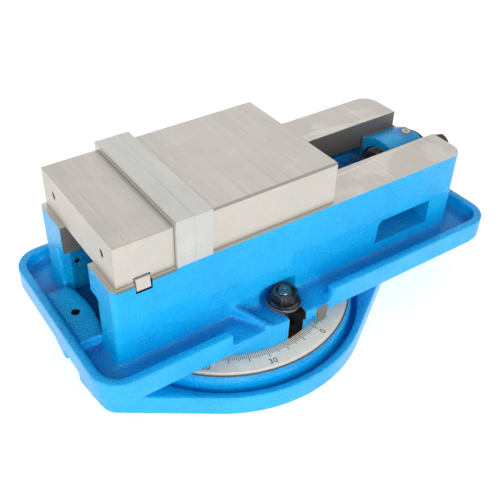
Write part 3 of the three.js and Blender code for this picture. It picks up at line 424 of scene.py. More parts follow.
def enamel(colours, name="blue_enamel", depth=0.0):
    """Glossy blue enamel over a sand-cast skin, chipped to iron along a few edges, lighter on outward edges,
    partly a painted highlight, and darker in hollows of upward faces, where enamel gathers and shade is
    painted; depth darkens it all as painted shade in recesses.
    """
    material, wire, shader, position = blank_finish(
        name, Coat_Weight=0.2 * (1 - depth), Coat_Roughness=0.08, IOR=1.42
    )
    skin = wire.effect("skin", Position=position)
    edge = wire.effect("edge", Position=position, Amount=colours.wear)
    marks = wire.effect("handling", Position=position, Density=0.5)
    # Darker in upward hollows, painted shade and partly gathered enamel, with mottle and flecks.
    slow = wire.plus(wire.times(skin["Pooling"], 0.85), wire.times(skin["Mottle"], 0.12))
    pooled_shade = wire.plus(slow, wire.times(skin["Fleck"], 0.2))
    pooled_shade_tone = scaled(colours.enamel_shade, 1 - 0.5 * depth)
    blue = wire.mix(pooled_shade, scaled(colours.enamel, 1 - 0.62 * depth), pooled_shade_tone)
    # Outward edges lighten to pale blue: thinner, worn enamel and partly a painted highlight.
    thin = wire.mix(wire.times(edge["Rubbed"], 0.7 - 0.5 * depth), blue, linear(120, 208, 252))
    dusty = wire.mix(wire.times(marks["Specks"], 0.4), thin, linear(20, 60, 110))
    dulled = wire.plus(wire.band(skin["Mottle"], 0.0, 1.0, 0.17, 0.28), wire.times(marks["Smear"], 0.16))
    height = wire.minus(skin["Height"], wire.times(edge["Chipped"], 1.5))
    wire.feed_all(
        shader,
        Base_Color=wire.mix(edge["Chipped"], dusty, colours.iron),
        Roughness=wire.reckon("MAXIMUM", dulled, wire.times(edge["Chipped"], 0.62)),
        Metallic=wire.times(edge["Chipped"], 0.6),
        Normal=bumped(wire, height, colours.peel),
    )
    return material


def bare_metal(
    name, tone, rough, turned=0.0, across=900.0, smears=0.55, tint=0.1, depth=0.000004, metal=0.5
):
    """Bare worked metal: lines one way, slow clouding, oil smears and rubbed edges, lightened partly as wear
    and partly as a painted highlight.
    """
    material, wire, shader, position = blank_finish(name)
    grind = wire.effect("grind", Position=position, Across=across, Turned=turned)
    marks = wire.effect("handling", Position=position, Density=smears)
    edge = wire.effect("edge", Position=position, Amount=0.6, Size=500.0)
    deep = scaled(tone, 1 - tint * 2.2)
    clouded = wire.mix(wire.band(grind["Cloud"], 0.35, 0.8, 0.0, 0.25), tone, deep)
    lined = wire.mix(wire.band(grind["Lines"], 0.35, 0.75, 0.0, 0.3), clouded, deep)
    smeared = wire.mix(wire.times(marks["Smear"], 0.25), lined, scaled(tone, 0.8))
    specked = wire.mix(wire.times(marks["Specks"], 0.55), smeared, scaled(tone, 0.42))
    worked = wire.band(grind["Lines"], 0.25, 0.75, rough - 0.07, rough + 0.1)
    wire.feed_all(
        shader,
        # Edges lighten: worn bright and partly a painted highlight.
        Base_Color=wire.mix(wire.times(edge["Rubbed"], 0.5), specked, scaled(tone, 1.25, 0.02)),
        Roughness=wire.plus(worked, wire.times(marks["Smear"], 0.12)),
        Metallic=wire.band(marks["Specks"], 0.0, 1.0, metal, metal * 0.5),
        Normal=bumped(wire, grind["Lines"], depth),
    )
    return material


def coated_steel(name, tone, rough, metal):
    """Dark chemical finish on steel, bright on rubbed edges: worn bare there and partly a painted highlight.
    """
    material, wire, shader, position = blank_finish(name)
    edge = wire.effect("edge", Position=position, Amount=0.85, Size=600.0)
    cloud = wire.noise(position, 90.0, 4.0, 0.6)
    base = wire.mix(wire.band(cloud, 0.35, 0.7), tone, scaled(tone, 1.9, 0.004))
    wire.feed_all(
        shader,
        # Edges lighten: worn bare and partly a painted highlight.
        Base_Color=wire.mix(wire.times(edge["Rubbed"], 0.8), base, scaled(tone, 6, 0.16)),
        Roughness=wire.band(cloud, 0.3, 0.7, rough - 0.08, rough + 0.12),
        Metallic=wire.band(edge["Rubbed"], 0.0, 1.0, metal, 0.95),
        Normal=bumped(wire, wire.noise(position, 900.0, 3.0, 0.6), 0.00002),
    )
    return material


def engraving(colours):
    """Black filler in the engraved lines and numerals."""
    material, wire, shader, position = blank_finish("engraving", IOR=1.45)
    patchy = wire.noise(position, 700.0, 4.0, 0.7)
    wire.feed_all(
        shader,
        Base_Color=wire.mix(wire.band(patchy, 0.35, 0.7), linear(18, 17, 16), linear(52, 49, 46)),
        Roughness=wire.band(patchy, 0.3, 0.7, 0.55, 0.85),
        Normal=bumped(wire, patchy, 0.00003),
    )
    return material


def floor_paper(colours):
    """Matt white paper with the faintest fibre."""
    material, wire, shader, position = blank_finish(
        "floor_paper", Specular_IOR_Level=0.1, Emission_Strength=1.0
    )
    fibre = wire.noise(position, 260.0, 4.0, 0.6)
    tone = wire.mix(fibre, (0.62, 0.62, 0.61), (0.66, 0.66, 0.65))
    wire.feed_all(
        shader,
        Base_Color=tone,
        Emission_Color=tone,
        Roughness=wire.band(fibre, 0.3, 0.7, 0.85, 0.95),
        Normal=bumped(wire, fibre, 0.00004),
    )
    return material


def warm_scale(colours):
    """The scale's steel, warmer than the jaws' and brightened nearly to white and matt, as a painted
    reflection of the light the ring catches.
    """
    tone = tuple(part * lift for part, lift in zip(colours.steel, (1.52, 1.43, 1.3)))
    return bare_metal("scale_steel_painted_reflection", tone, 0.38, across=300.0, metal=0.0)


FINISHES = {
    "enamel": enamel,
    # The inner and sill finishes are darker copies of the blue enamel: painted shade inside the cavity and on
    # the window sills.
    "inner": lambda c: enamel(c, "inner_shaded_enamel", 0.7),
    "sill": lambda c: enamel(c, "sill_shaded_enamel", 0.2),
    "steel": lambda c: bare_metal("ground_steel", tuple(c.steel), 0.42, smears=0.25),
    "scale": warm_scale,
    "plate": lambda c: bare_metal("plate_steel", tuple(c.plate), 0.36, tint=0.04, depth=0.000002),
    "polished": lambda c: bare_metal("polished_steel", tuple(c.plate), 0.2, smears=0.3, tint=0.05),
    # Bored iron is dark machined iron, darkened further as painted shade in slots, strips and the index pad.
    "bore": lambda c: bare_metal("bored_iron_and_shade", scaled(c.steel, 0.36), 0.45, turned=1.0),
    "milled": lambda c: bare_metal("milled_steel", scaled(c.steel, 0.7), 0.45),
    # Oiled iron is near-black: oil, and painted shade in gaps, slots and holes.
    "oily": lambda c: coated_steel("oily_iron_and_shade", linear(24, 24, 26), 0.4, 0.3),
    "oxide": lambda c: coated_steel("black_oxide", tuple(c.oxide), 0.28, 0.6),
    "phosphate": lambda c: coated_steel("dark_phosphate", tuple(c.phosphate), 0.5, 0.6),
    "bronze": lambda c: bare_metal("bronze", tuple(c.bronze), 0.34, across=500.0),
    "brass": lambda c: bare_metal("brass", tuple(c.brass), 0.26, across=500.0, smears=0.3),
    "engraving": engraving,
    "paper": floor_paper,
}


# ---------------------------------------------------------------- solids, in millimetres

AXES = {
    "X": lambda u, v, w: (w, u, v),
    "Y": lambda u, v, w: (u, w, v),
    "Z": lambda u, v, w: (u, v, w),
}
BOX_FACES = [(0, 3, 2, 1), (4, 5, 6, 7), (0, 1, 5, 4), (1, 2, 6, 5), (2, 3, 7, 6), (3, 0, 4, 7)]


def placed(name, data):
    """A new object in the scene that shows the data."""
    thing = bpy.data.objects.new(name, data)
    bpy.context.scene.collection.objects.link(thing)
    return thing


def discarded(thing):
    mesh = thing.data
    bpy.data.objects.remove(thing)
    bpy.data.meshes.remove(mesh)


def evaluated(thing):
    """A new mesh of what an object looks like after its modifiers."""
    graph = bpy.context.evaluated_depsgraph_get()
    return bpy.data.meshes.new_from_object(thing.evaluated_get(graph), depsgraph=graph)


def solid(points, faces, finish):
    """A closed mesh from points in millimetres, its faces turned outwards."""
    mesh = bpy.data.meshes.new("solid")
    mesh.from_pydata([[part * MM for part in point] for point in points], [], faces)
    shape = bmesh.new()
    shape.from_mesh(mesh)
    bmesh.ops.remove_doubles(shape, verts=shape.verts, dist=1e-7)
    bmesh.ops.recalc_face_normals(shape, faces=shape.faces)
    shape.to_mesh(mesh)
    shape.free()
    mesh.materials.append(FinishShop.get(finish))
    return placed("solid", mesh)


def prism(outline, low, high, finish, axis="Z"):
    """An outline drawn along an axis; it holds (y, z) for X, (x, z) for Y and (x, y) for Z."""
    place = AXES[axis]
    count = len(outline)
    points = [place(u, v, w) for w in (low, high) for u, v in outline]
    faces = [tuple(range(count)), tuple(range(count, 2 * count))]
    faces += [(i, (i + 1) % count, (i + 1) % count + count, i + count) for i in range(count)]
    return solid(points, faces, finish)


def block(low, high, finish):
    outline = [(low[0], low[1]), (high[0], low[1]), (high[0], high[1]), (low[0], high[1])]
    return prism(outline, low[2], high[2], finish)


def side_block(side, x, y, z, finish):
    """A block on one side of the vise: its first and last x, y and z, with y counted outwards."""
    near, far = sorted((side * y[0], side * y[1]))
    return block((x[0], near, z[0]), (x[1], far, z[1]), finish)


def turned(profile, finish, centre=(0, 0), axis="Z", sides=96):
    """A closed profile of (radius, height) points turned round an axis through centre."""
    place = AXES[axis]
    rows = len(profile)
    points = []
    for step in range(sides):
        u, v = math.cos(FULL * step / sides), math.sin(FULL * step / sides)
        points += [place(centre[0] + far * u, centre[1] + far * v, height) for far, height in profile]
    faces = []
    for step in range(sides):
        after = (step + 1) % sides
        for row in range(rows):
            below = (row + 1) % rows
            if profile[row][0] == 0 and profile[below][0] == 0:
                continue
            faces.append((step * rows + row, after * rows + row, after * rows + below, step * rows + below))
    return solid(points, faces, finish)


def post(radius, low, high, finish, centre=(0, 0), axis="Z", sides=64):
    return turned([(0, low), (radius, low), (radius, high), (0, high)], finish, centre, axis, sides)


def ring(inner, outer, low, high, finish, centre=(0, 0), axis="Z", sides=256):
    return turned([(inner, low), (outer, low), (outer, high), (inner, high)], finish, centre, axis, sides)


def lathed(profile, finish, sides=96):
    """A closed profile turned round the clamping screw's axis."""
    return turned(profile, finish, (0, SCREW_Z), "X", sides)


def sleeve(inner, outer, low, high, finish, inside, outside):
    """A ring round the screw's axis, with its inner and outer edges broken."""
    return lathed(
        [(inner + inside, low), (outer - outside, low), (outer, low + outside), (outer, high - outside),
         (outer - outside, high), (inner + inside, high), (inner, high - inside), (inner, low + inside)],
        finish,
    )


def ball_profile(radius, middle, count):
    """Half a circle of count points, closed on the axis, for turned."""
    angles = np.linspace(-QUARTER, QUARTER, count)[1:-1]
    curve = [(radius * math.cos(a), middle + radius * math.sin(a)) for a in angles]
    return [(0, middle - radius), *curve, (0, middle + radius)]


def hexagon(flats, low, high, finish, centre=(0, 0), axis="Z", turn=0.0):
    corner = flats / math.sqrt(3)
    angles = [turn + math.pi / 3 * step for step in range(6)]
    outline = [(centre[0] + corner * math.cos(a), centre[1] + corner * math.sin(a)) for a in angles]
    return prism(outline, low, high, finish, axis)


def arc(centre, radius, start, end, steps):
    angles = [start + (end - start) * step / steps for step in range(steps + 1)]
    return [(centre[0] + radius * math.cos(a), centre[1] + radius * math.sin(a)) for a in angles]


def rounded(x0, x1, half, start_corner, end_corner):
    """A rectangle about the X axis with its own corner radius at each end."""
    a, b = start_corner, end_corner
    return (
        arc((x1 - b, -half + b), b, -QUARTER, 0, 16)
        + arc((x1 - b, half - b), b, 0, QUARTER, 16)
        + arc((x0 + a, half - a), a, QUARTER, 2 * QUARTER, 16)
        + arc((x0 + a, -half + a), a, 2 * QUARTER, 3 * QUARTER, 16)
    )


def cove(radius):
    """Outline of the metal that fills an inside corner with a concave fillet; the corner is the origin."""
    curve = arc((radius, radius), radius, 2 * QUARTER, 3 * QUARTER, 6)
    return [(-1.0, -1.0), (radius, -1.0), *reversed(curve[1:-1]), (-1.0, radius)]


def moved(thing, turn=None, shift=(0, 0, 0)):
    """Turns a solid by a 3x3 or 4x4 matrix and shifts it, in its own mesh."""
    matrix = Matrix.Translation(Vector(shift) * MM)
    thing.data.transform(matrix @ turn.to_4x4() if turn else matrix)
    return thing


def mirrored(thing):
    """The same solid on the other side of the vise's middle plane."""
    thing.data.transform(Matrix.Scale(-1, 4, (0, 1, 0)))
    thing.data.flip_normals()
    return thing


def both_sides(make):
    """make(side) on the front, -1, and on the back, 1."""
    return [make(-1), make(1)]


def settle(thing):
    """Applies a solid's modifiers."""
    mesh, old = evaluated(thing), thing.data
    thing.modifiers.clear()
    thing.data = mesh
    bpy.data.meshes.remove(old)
    return thing


def combine(thing, tool, operation):
    """Adds, cuts or crosses two solids; the faces that a tool leaves have the tool's finish."""
    step = thing.modifiers.new("step", "BOOLEAN")
    step.solver = "MANIFOLD"
    step.material_mode = "TRANSFER"
    step.operation = operation
    step.object = tool
    settle(thing)
    if not thing.data.polygons:
        raise RuntimeError(f"{operation} with {tool.name} left nothing of {thing.name}")
    discarded(tool)
    return thing


def cut(thing, *tools):
    for tool in tools:
        combine(thing, tool, "DIFFERENCE")
    return thing


def fused(thing, *others):
    for other in others:
        combine(thing, other, "UNION")
    return thing


def gathered(*things):
    """One object that holds several separate shells."""
    shape = bmesh.new()
    finishes = []
    for thing in things:
        places = []
        for finish in thing.data.materials:
            if finish not in finishes:
                finishes.append(finish)
            places.append(finishes.index(finish))
        start = len(shape.faces)
        shape.from_mesh(thing.data)
        shape.faces.ensure_lookup_table()
        for face in shape.faces[start:]:
            face.material_index = places[face.material_index]
    first, *rest = things
    first.data.materials.clear()
    for finish in finishes:
        first.data.materials.append(finish)
    shape.to_mesh(first.data)
    shape.free()
    for other in rest:
        discarded(other)
    return first


def softened(thing, width, segments=2, angle=30):
    """Breaks a worked solid's edges."""
    step = thing.modifiers.new("edges", "BEVEL")
    step.width, step.segments = width * MM, segments
    step.limit_method, step.angle_limit = "ANGLE", math.radians(angle)
    return settle(thing)


def as_cast(thing, grain, softness):
    """Gives a raw form one skin, with corners rounded as a sand mould leaves them."""
    skin = thing.modifiers.new("skin", "REMESH")
    skin.mode = "VOXEL"
    skin.voxel_size = grain
    skin.use_smooth_shade = True
    soften = thing.modifiers.new("soften", "SMOOTH")
    soften.factor = 0.5
    soften.iterations = softness
    return settle(thing)


def mark_edges(mesh):
    """Stores how outward or inward each corner of the mesh is, for wear, lighter edges, and darker hollows
    that are partly painted shade.
    """
    count = len(mesh.vertices)
    co, normal = np.empty((2, count, 3))
    ends = np.empty((len(mesh.edges), 2), dtype=np.int64)
    mesh.vertices.foreach_get("co", co.ravel())
    mesh.vertices.foreach_get("normal", normal.ravel())
    mesh.edges.foreach_get("vertices", ends.ravel())
    along = co[ends[:, 1]] - co[ends[:, 0]]
    along /= np.maximum(np.linalg.norm(along, axis=1), 1e-12)[:, None]
    pull = np.zeros((count, 3))
    np.add.at(pull, ends[:, 0], along)
    np.add.at(pull, ends[:, 1], -along)
    degree = np.maximum(np.bincount(ends.ravel(), minlength=count), 1)
    bend = -(pull * normal).sum(1) / degree
    sunk = np.clip(-bend * EDGE_GAIN, 0, 1)
    for _ in range(SPREAD_STEPS):
        near = sum(np.bincount(ends[:, i], sunk[ends[:, 1 - i]], count) for i in (0, 1))
        sunk = (sunk + near / degree) / 2
    for name, values in (("outward_edge", bend * EDGE_GAIN), ("hollow", sunk * HOLLOW_GAIN)):
        layer = mesh.attributes.new(name, "FLOAT", "POINT")
        layer.data.foreach_set("value", np.clip(values, 0, 1).astype(np.float32))


def finished(thing, name, body, slot, *nodes, crease=32):
    """Shades a piece, names it and hangs it on its CAD body in place of its nodes."""
    thing.name = thing.data.name = name
    mesh = thing.data
    mesh.shade_smooth()
    mesh.set_sharp_from_angle(angle=math.radians(crease))
    mark_edges(mesh)
    level = thing.modifiers.new("level", "WEIGHTED_NORMAL")
    level.keep_sharp = True
    settle(thing)
    thing.data.name = name
    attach(thing, body)
    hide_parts(*nodes)
    return thing


def thread(start, end, crest, pitch, finish, left_handed=False):
    """A threaded shell round Z that fades into its core at both ends."""
    columns = 40
    root = crest - 0.5 * pitch
    share = (0.0, 0.18, 0.5, 0.68)
    radius = (root, crest, crest, root)
    turns = int((end - start) / pitch) + 3
    hand = -1 if left_handed else 1
    points = []
    for column in range(columns):
        angle = hand * FULL * column / columns
        for turn in range(turns):
            for place, reach in zip(share, radius):
                height = start + (turn - 1 + place + column / columns) * pitch
                fade = min(1.0, max(0.0, min(height - start, end - height) / pitch))
                size = root - 0.3 + (reach - root + 0.3) * fade
                height = min(max(height, start), end)
                points.append((size * math.cos(angle), size * math.sin(angle), height))
    rows = turns * len(share)
    faces = []
    for column in range(columns):
        jump = len(share) if column == columns - 1 else 0
        after = (column + 1) % columns * rows + jump
        for row in range(rows - 1 - jump):
            here = column * rows + row
            faces.append((here, after + row, after + row + 1, here + 1))
    return solid(points, faces, finish)


def cap_screw(radius, head, head_height, flats, reach, name, body, node, place, turn):
    """A socket-head cap screw, its head above its seat and its shank below."""
    shank = turned(
        [(0, -reach), (radius - 0.9, -reach), (radius, -reach + 0.9), (radius, 1), (0, 1)], "oxide", sides=40
    )
    top = turned(
        [(0, 0), (head, 0), (head, head_height - 0.8), (head - 0.8, head_height), (0, head_height)],
        "oxide", sides=48,
    )
    screw = fused(top, shank)
    low, high, mouth = head_height - 0.5, head_height + 0.5, flats * 0.56
    cut(
        screw,
        hexagon(flats, head_height * 0.45, head_height + MARGIN, "oxide"),
        turned([(0, low), (mouth, low), (mouth + 1, high), (0, high)], "oxide", sides=48),
    )
    moved(screw, turn, place)
    return finished(screw, name, body, "black_oxide", node)


# ---------------------------------------------------------------- swivel base


def base_outline():
    """The round rim with its two hold-down lugs."""
    outward = Vector((math.sin(LUG_FLANK), math.cos(LUG_FLANK)))
    sideways = Vector((math.cos(LUG_FLANK), -math.sin(LUG_FLANK)))
    end_centre = Vector((LUG_REACH - LUG_END_RADIUS, 0))
    start = outward * (RIM_RADIUS - LUG_CORNER)
    to_start = start - end_centre
    half = to_start.dot(sideways)
    reach = (LUG_END_RADIUS - LUG_CORNER) ** 2 - to_start.length_squared
    corner = start + sideways * (-half + math.sqrt(half**2 + reach))
    end_angle = math.atan2(corner.y, corner.x - end_centre.x)
    quarter = arc((0, 0), RIM_RADIUS, QUARTER, QUARTER - LUG_FLANK, 24)
    quarter += arc(corner, LUG_CORNER, QUARTER - LUG_FLANK, end_angle, 12)
    quarter += arc(end_centre, LUG_END_RADIUS, end_angle, 0, 6)
    right = quarter + [(x, -y) for x, y in reversed(quarter[:-1])]
    return right + [(-x, y) for x, y in reversed(right[1:-1])]


def lug_slot(side):
    """The open bolt slot of one lug, flared at its mouth."""
    inner, mouth = LUG_REACH - 17, LUG_REACH - 9
    outline = arc((inner, 0), 10, QUARTER, 3 * QUARTER, 24)
    outline += [(mouth, -10), (LUG_REACH + MARGIN, -20), (LUG_REACH + MARGIN, 20), (mouth, 10)]
    return prism([(side * x, y) for x, y in outline], -MARGIN, LUG_TOP + MARGIN, "enamel")


def scale_zero():
    """Direction of the scale's zero, under the pad's left half."""
    return math.atan2(-TRAY_HALF, (INDEX_LOW + INDEX_HIGH) / 2) - ZERO_OFFSET


def degree_lines(sizes):
    """Ticks at every degree and a number at every thirtieth, filled black, all round the ring."""
    zero = scale_zero()
    half = sizes.tick_width / MM / 2
    points, faces = [], []
    for degree in range(360):
        end = TEN_END if degree % 10 == 0 else FIVE_END if degree % 5 == 0 else TICK_END
        turn = zero - math.radians(degree)
        along = Vector((math.cos(turn), math.sin(turn)))
        across = Vector((-along.y, along.x)) * (half * (1.25 if degree % 10 == 0 else 1))
        foot, tip = along * TICK_START, along * end
        corners = [foot - across, tip - across, tip + across, foot + across]
        first = len(points)
        points += [(*corner, level) for level in (RING_TOP - 0.3, RING_TOP) for corner in corners]
        faces += [[first + i for i in face] for face in BOX_FACES]
    shells = [solid(points, faces, "engraving")]
    for degree in range(0, 360, 30):
        turn = zero - math.radians(degree)
        text = bpy.data.curves.new("number", "FONT")
        text.body = str(min(degree % 180, 180 - degree % 180))
        text.align_x = text.align_y = "CENTER"
        text.size = sizes.numeral_height * 1.25
        text.extrude = 0.00015
        text.space_character = 1.06
        writing = placed("writing", text)
        mesh = evaluated(writing)
        bpy.data.objects.remove(writing)
        bpy.data.curves.remove(text)
        mesh.materials.clear()
        mesh.materials.append(FinishShop.get("engraving"))
        place = (NUMBER_RADIUS * math.cos(turn), NUMBER_RADIUS * math.sin(turn), RING_TOP - 0.15)
        shells.append(moved(placed("number", mesh), Matrix.Rotation(turn + QUARTER, 3, "Z"), place))
    return gathered(*shells)


def make_base(sizes):
    raw = turned(
        [
            (0, -2), (RIM_RADIUS, -2), (RIM_RADIUS, RIM_TOP - 1), (RIM_RADIUS - 1, RIM_TOP),
            (RIM_INNER, RIM_TOP), (RIM_INNER - 0.8, GUTTER_FLOOR), (SHOULDER_RADIUS + 1.5, GUTTER_FLOOR),
            (SHOULDER_RADIUS, GUTTER_FLOOR + 3), (SHOULDER_RADIUS, RING_TOP - 6.6),
            (RING_RADIUS + 1.2, RING_TOP - 1.9), (RING_RADIUS + 0.6, RING_TOP + 2), (0, RING_TOP + 2),
        ],
        "enamel", sides=360,
    )
    lugs = prism(base_outline(), -2, LUG_TOP, "enamel")
    cut(lugs, post(RIM_RADIUS - 2, -6, LUG_TOP + 6, "enamel", sides=360))
    fused(raw, lugs)
    cut(raw, *both_sides(lug_slot))
    base = as_cast(raw, sizes.base_grain, sizes.softness)
    far = LUG_REACH + 20
    cut(
        base,
        block((-far, -far, -20), (far, far, 0.0), "steel"),
        # The scale finish is steel brightened as a painted reflection.
        post(RING_RADIUS + 6, RING_TOP - 0.06, RING_TOP + 20, "scale", sides=360),
        # Under the boss the ring is near-black: an oil film and painted shade.
        post(BOSS_RADIUS - 1, RING_TOP - 0.12, RING_TOP + 20, "oily", sides=256),
        ring(RING_RADIUS - 2.3, RING_RADIUS + 6, RING_TOP - 0.7, RING_TOP + 20, "scale", sides=360),
        ring(RING_RADIUS, RING_RADIUS + 6, RING_TOP - 1.7, RING_TOP + 20, "bore", sides=360),
        ring(T_RADIUS - T_NECK / 2, T_RADIUS + T_NECK / 2, T_TOP - 1, RING_TOP + MARGIN, "bore"),
        ring(T_RADIUS - T_WIDTH / 2, T_RADIUS + T_WIDTH / 2, T_BOTTOM, T_TOP, "bore"),
        post(T_WIDTH / 2, T_BOTTOM, RING_TOP + MARGIN, "bore", centre=(-T_RADIUS, 0)),
        post(PIVOT_HIGH.x + PLAY, PIVOT_LOW.z - PLAY, RING_TOP + MARGIN, "bore", sides=96),
    )
    whole = gathered(base, degree_lines(sizes))
    return finished(whole, "base_casting", "base", "blue_paint", "swivel_base")


def make_pivot():
    low, high, radius = PIVOT_LOW.z, PIVOT_HIGH.z, PIVOT_HIGH.x
    pin = turned(
        [(0, low), (radius - 1.5, low), (radius, low + 1.5), (radius, high - 1.5), (radius - 1.5, high),
         (3, high), (3, high - 5), (0, high - 7)],
        "steel", sides=96,
    )
    return finished(pin, "pivot_plug", "base", "ground_steel", "pivot_pin")


# ---------------------------------------------------------------- body casting


def rib(side):
    """The thin web from the wall down to the tray's edge beside the clamp bolt."""
    foot = Vector((STUD_X - 55.5, WALL_HALF - 2))
    toe = Vector((STUD_X - 31.5, TRAY_HALF))
    across = (toe - foot).orthogonal().normalized() * 3.2
    ends = [foot - across, toe - across, toe + across, foot + across]
    heights = [TRAY_FLOOR + 15.5, TRAY_FLOOR + 2.4, TRAY_FLOOR + 2.4, TRAY_FLOOR + 15.5]
    points = [(p.x, p.y, TRAY_FLOOR - 3) for p in ends] + [(p.x, p.y, z) for p, z in zip(ends, heights)]
    web = solid(points, BOX_FACES, "enamel")
    combine(web, block((-200, 0, 0), (200, TRAY_HALF, 200), "enamel"), "INTERSECT")
    return web if side > 0 else mirrored(web)


def tray():
    outline = rounded(TRAY_X0, TRAY_X1, TRAY_HALF, TRAY_CORNER, TRAY_CORNER)
    outer = prism(outline, TRAY_BOTTOM, TRAY_RIM_TOP, "enamel")
    corner = TRAY_CORNER - TRAY_RIM
    inner = rounded(TRAY_X0 + TRAY_RIM, TRAY_X1 - TRAY_RIM, TRAY_EDGE, corner, corner)
    z = (TRAY_FLOOR, TRAY_RIM_TOP + MARGIN)
    cut(outer, prism(inner, *z, "enamel"))
    for side in (-1, 1):
        cut(outer, side_block(side, (-NOTCH_HALF, NOTCH_HALF), (WALL_HALF, TRAY_HALF + MARGIN), z, "enamel"))
    return outer


def coves(radius):
    """Fillets along the foot of the walls and of the tray's rim."""
    shape = cove(radius)

    def strip(corner, way, start, end, axis):
        return prism([(corner + way * out, TRAY_FLOOR + up) for out, up in shape], start, end, "enamel", axis)

    strips = []
    for side in (-1, 1):
        strips.append(strip(side * WALL_HALF, side, WALL_X0 + 4, WALL_X1 - 14, "X"))
        for start, end in ((TRAY_X0 + TRAY_CORNER, -NOTCH_HALF), (NOTCH_HALF, TRAY_X1 - TRAY_CORNER)):
            strips.append(strip(side * TRAY_EDGE, -side, start, end, "X"))
    straight = TRAY_HALF - TRAY_CORNER
    for start, way in ((TRAY_X0 + TRAY_RIM, 1), (TRAY_X1 - TRAY_RIM, -1)):
        strips.append(strip(start, way, -straight, straight, "Y"))
    return [*strips, strip(WALL_X1, 1, -WALL_HALF + 16, WALL_HALF - 16, "Y")]


def wrench_hollow(side):
    """The hollow in the wall that clears the wrench."""
    steps = [(0, 0), (25, 0), (25, 12.5), (22.5, 16), (17, 18), (0, 18)]
    return turned([(out, TRAY_FLOOR + up) for out, up in steps], "enamel", centre=(STUD_X, side * STUD_Y))


def stud_slot(side):
    """The bolt's slot through the boss, open to the side and dark: oiled iron and painted shade."""
    z = (BOSS_BOTTOM - 5, TRAY_FLOOR + 2)
    x, y = (STUD_X - STUD_SLOT, STUD_X + STUD_SLOT), (STUD_Y, TRAY_HALF + MARGIN + 1.2)
    return [post(STUD_SLOT, *z, "oily", centre=(STUD_X, side * STUD_Y)), side_block(side, x, y, z, "oily")]


def chip_window(side):
    """A window through one wall, clipped at one corner, with a sill that falls outwards."""
    near, far = CAVITY_HALF - 2, WALL_HALF + 4
    outline = [
        (WINDOW_X0, WINDOW_Z0), (WINDOW_X1, WINDOW_Z0), (WINDOW_X1, WINDOW_Z1),
        (WINDOW_X0 + 8, WINDOW_Z1), (WINDOW_X0 + 3, WINDOW_Z1 - 4), (WINDOW_X0 + 2, WINDOW_Z0 + 6),
    ]
    # The sill finish is enamel darkened as painted shade.
    face = prism(outline, near, far, "sill", "Y")
    low, high = WINDOW_Z0, WINDOW_Z1
    fall = [(near, low + 9), (WALL_HALF, low), (far, low), (far, high), (near, high)]
    combine(face, prism(fall, WINDOW_X0 - 1, WINDOW_X1 + 1, "sill", "X"), "INTERSECT")
    return face if side > 0 else mirrored(face)


def make_body(sizes):
    wall = prism(rounded(WALL_X0, WALL_X1, WALL_HALF, 5, 18), CAVITY_FLOOR - 2, BED_TOP + 4, "enamel")
    half, foot = SLOT_HALF - 1.5, CAVITY_HALF + 2
    cut(
        wall,
        block((WALL_X0 - 4, -half, LIP_BOTTOM - 4), (WALL_X1 + 4, half, BED_TOP + 9), "enamel"),
        block((WALL_X0 - 4, -CAVITY_HALF, CAVITY_FLOOR), (FRONT_X, CAVITY_HALF, LIP_BOTTOM), "enamel"),
    )
    end = WALL_X0 + 3
    platform = [(TRAY_X0 + 4, -PLATFORM_HALF), (end, -PLATFORM_HALF)]
    platform += [(end + 7 * math.cos(y / 28), y) for y in range(-32, 33, 4)]
    platform += [(end, PLATFORM_HALF), (TRAY_X0 + 4, PLATFORM_HALF)]
    raw = fused(
        tray(),
        post(BOSS_RADIUS, BOSS_BOTTOM - 2, TRAY_FLOOR - 1, "enamel", sides=256),
        wall,
        prism(platform, TRAY_FLOOR - 2, PLATFORM_TOP, "enamel"),
        block((INDEX_LOW, -TRAY_HALF - 2, BOSS_BOTTOM + 6.5), (INDEX_HIGH, -WALL_HALF, TRAY_FLOOR), "enamel"),
        *both_sides(rib),
        *coves(sizes.fillet / MM),
        block((FRONT_X, -SLOT_HALF - 2, SCREW_Z), (WALL_X1, SLOT_HALF + 2, SHELF_TOP), "enamel"),
        block((FRONT_X, -foot, CAVITY_FLOOR - 2), (WALL_X1, foot, SCREW_Z), "enamel"),
        post(HOUSING_RADIUS, FRONT_X, WALL_X1, "enamel", centre=(0, SCREW_Z), axis="X", sides=96),
    )
    body = as_cast(cut(raw, *both_sides(wrench_hollow)), sizes.body_grain, sizes.softness)
    machine_body(body)
    return finished(body, "body_casting", "body", "blue_paint", "vise_body")


def side_cuts(side):
    """The machining of one side: bed edge, shelf edge, stud slot and seat, and the rail screws' holes."""
    edge, shelf = (WALL_HALF - 0.3, WALL_HALF + 8), (SLOT_HALF - 5.4, SLOT_HALF)
    stud = (STUD_X, side * STUD_Y)
    tools = [
        # The bed's edge strip under the fixed jaw is dark bored iron, partly painted shade.
        side_block(side, (WALL_X0 - 9, FIXED_HIGH.x), edge, (BED_TOP - 2.6, BED_TOP + 4), "bore"),
        side_block(side, (FRONT_X - 2, WALL_X1 + 9), shelf, (SHELF_TOP - 0.5, BED_TOP + 4), "bore"),
        *stud_slot(side),
        ring(0.0, 17.9, TRAY_FLOOR - 0.25, TRAY_FLOOR + 3.4, "steel", centre=stud, sides=64),
    ]
    for x in RAIL_SCREW_X:
        place = (x, side * RAIL_SCREW_Y)
        tools.append(post(10, TRAY_BOTTOM - 4, LIP_BOTTOM, "bore", centre=place, sides=40))
        tools.append(post(RAIL_SCREW_HOLE, LIP_BOTTOM - 4, BED_TOP + 4, "bore", centre=place, sides=32))
    return tools


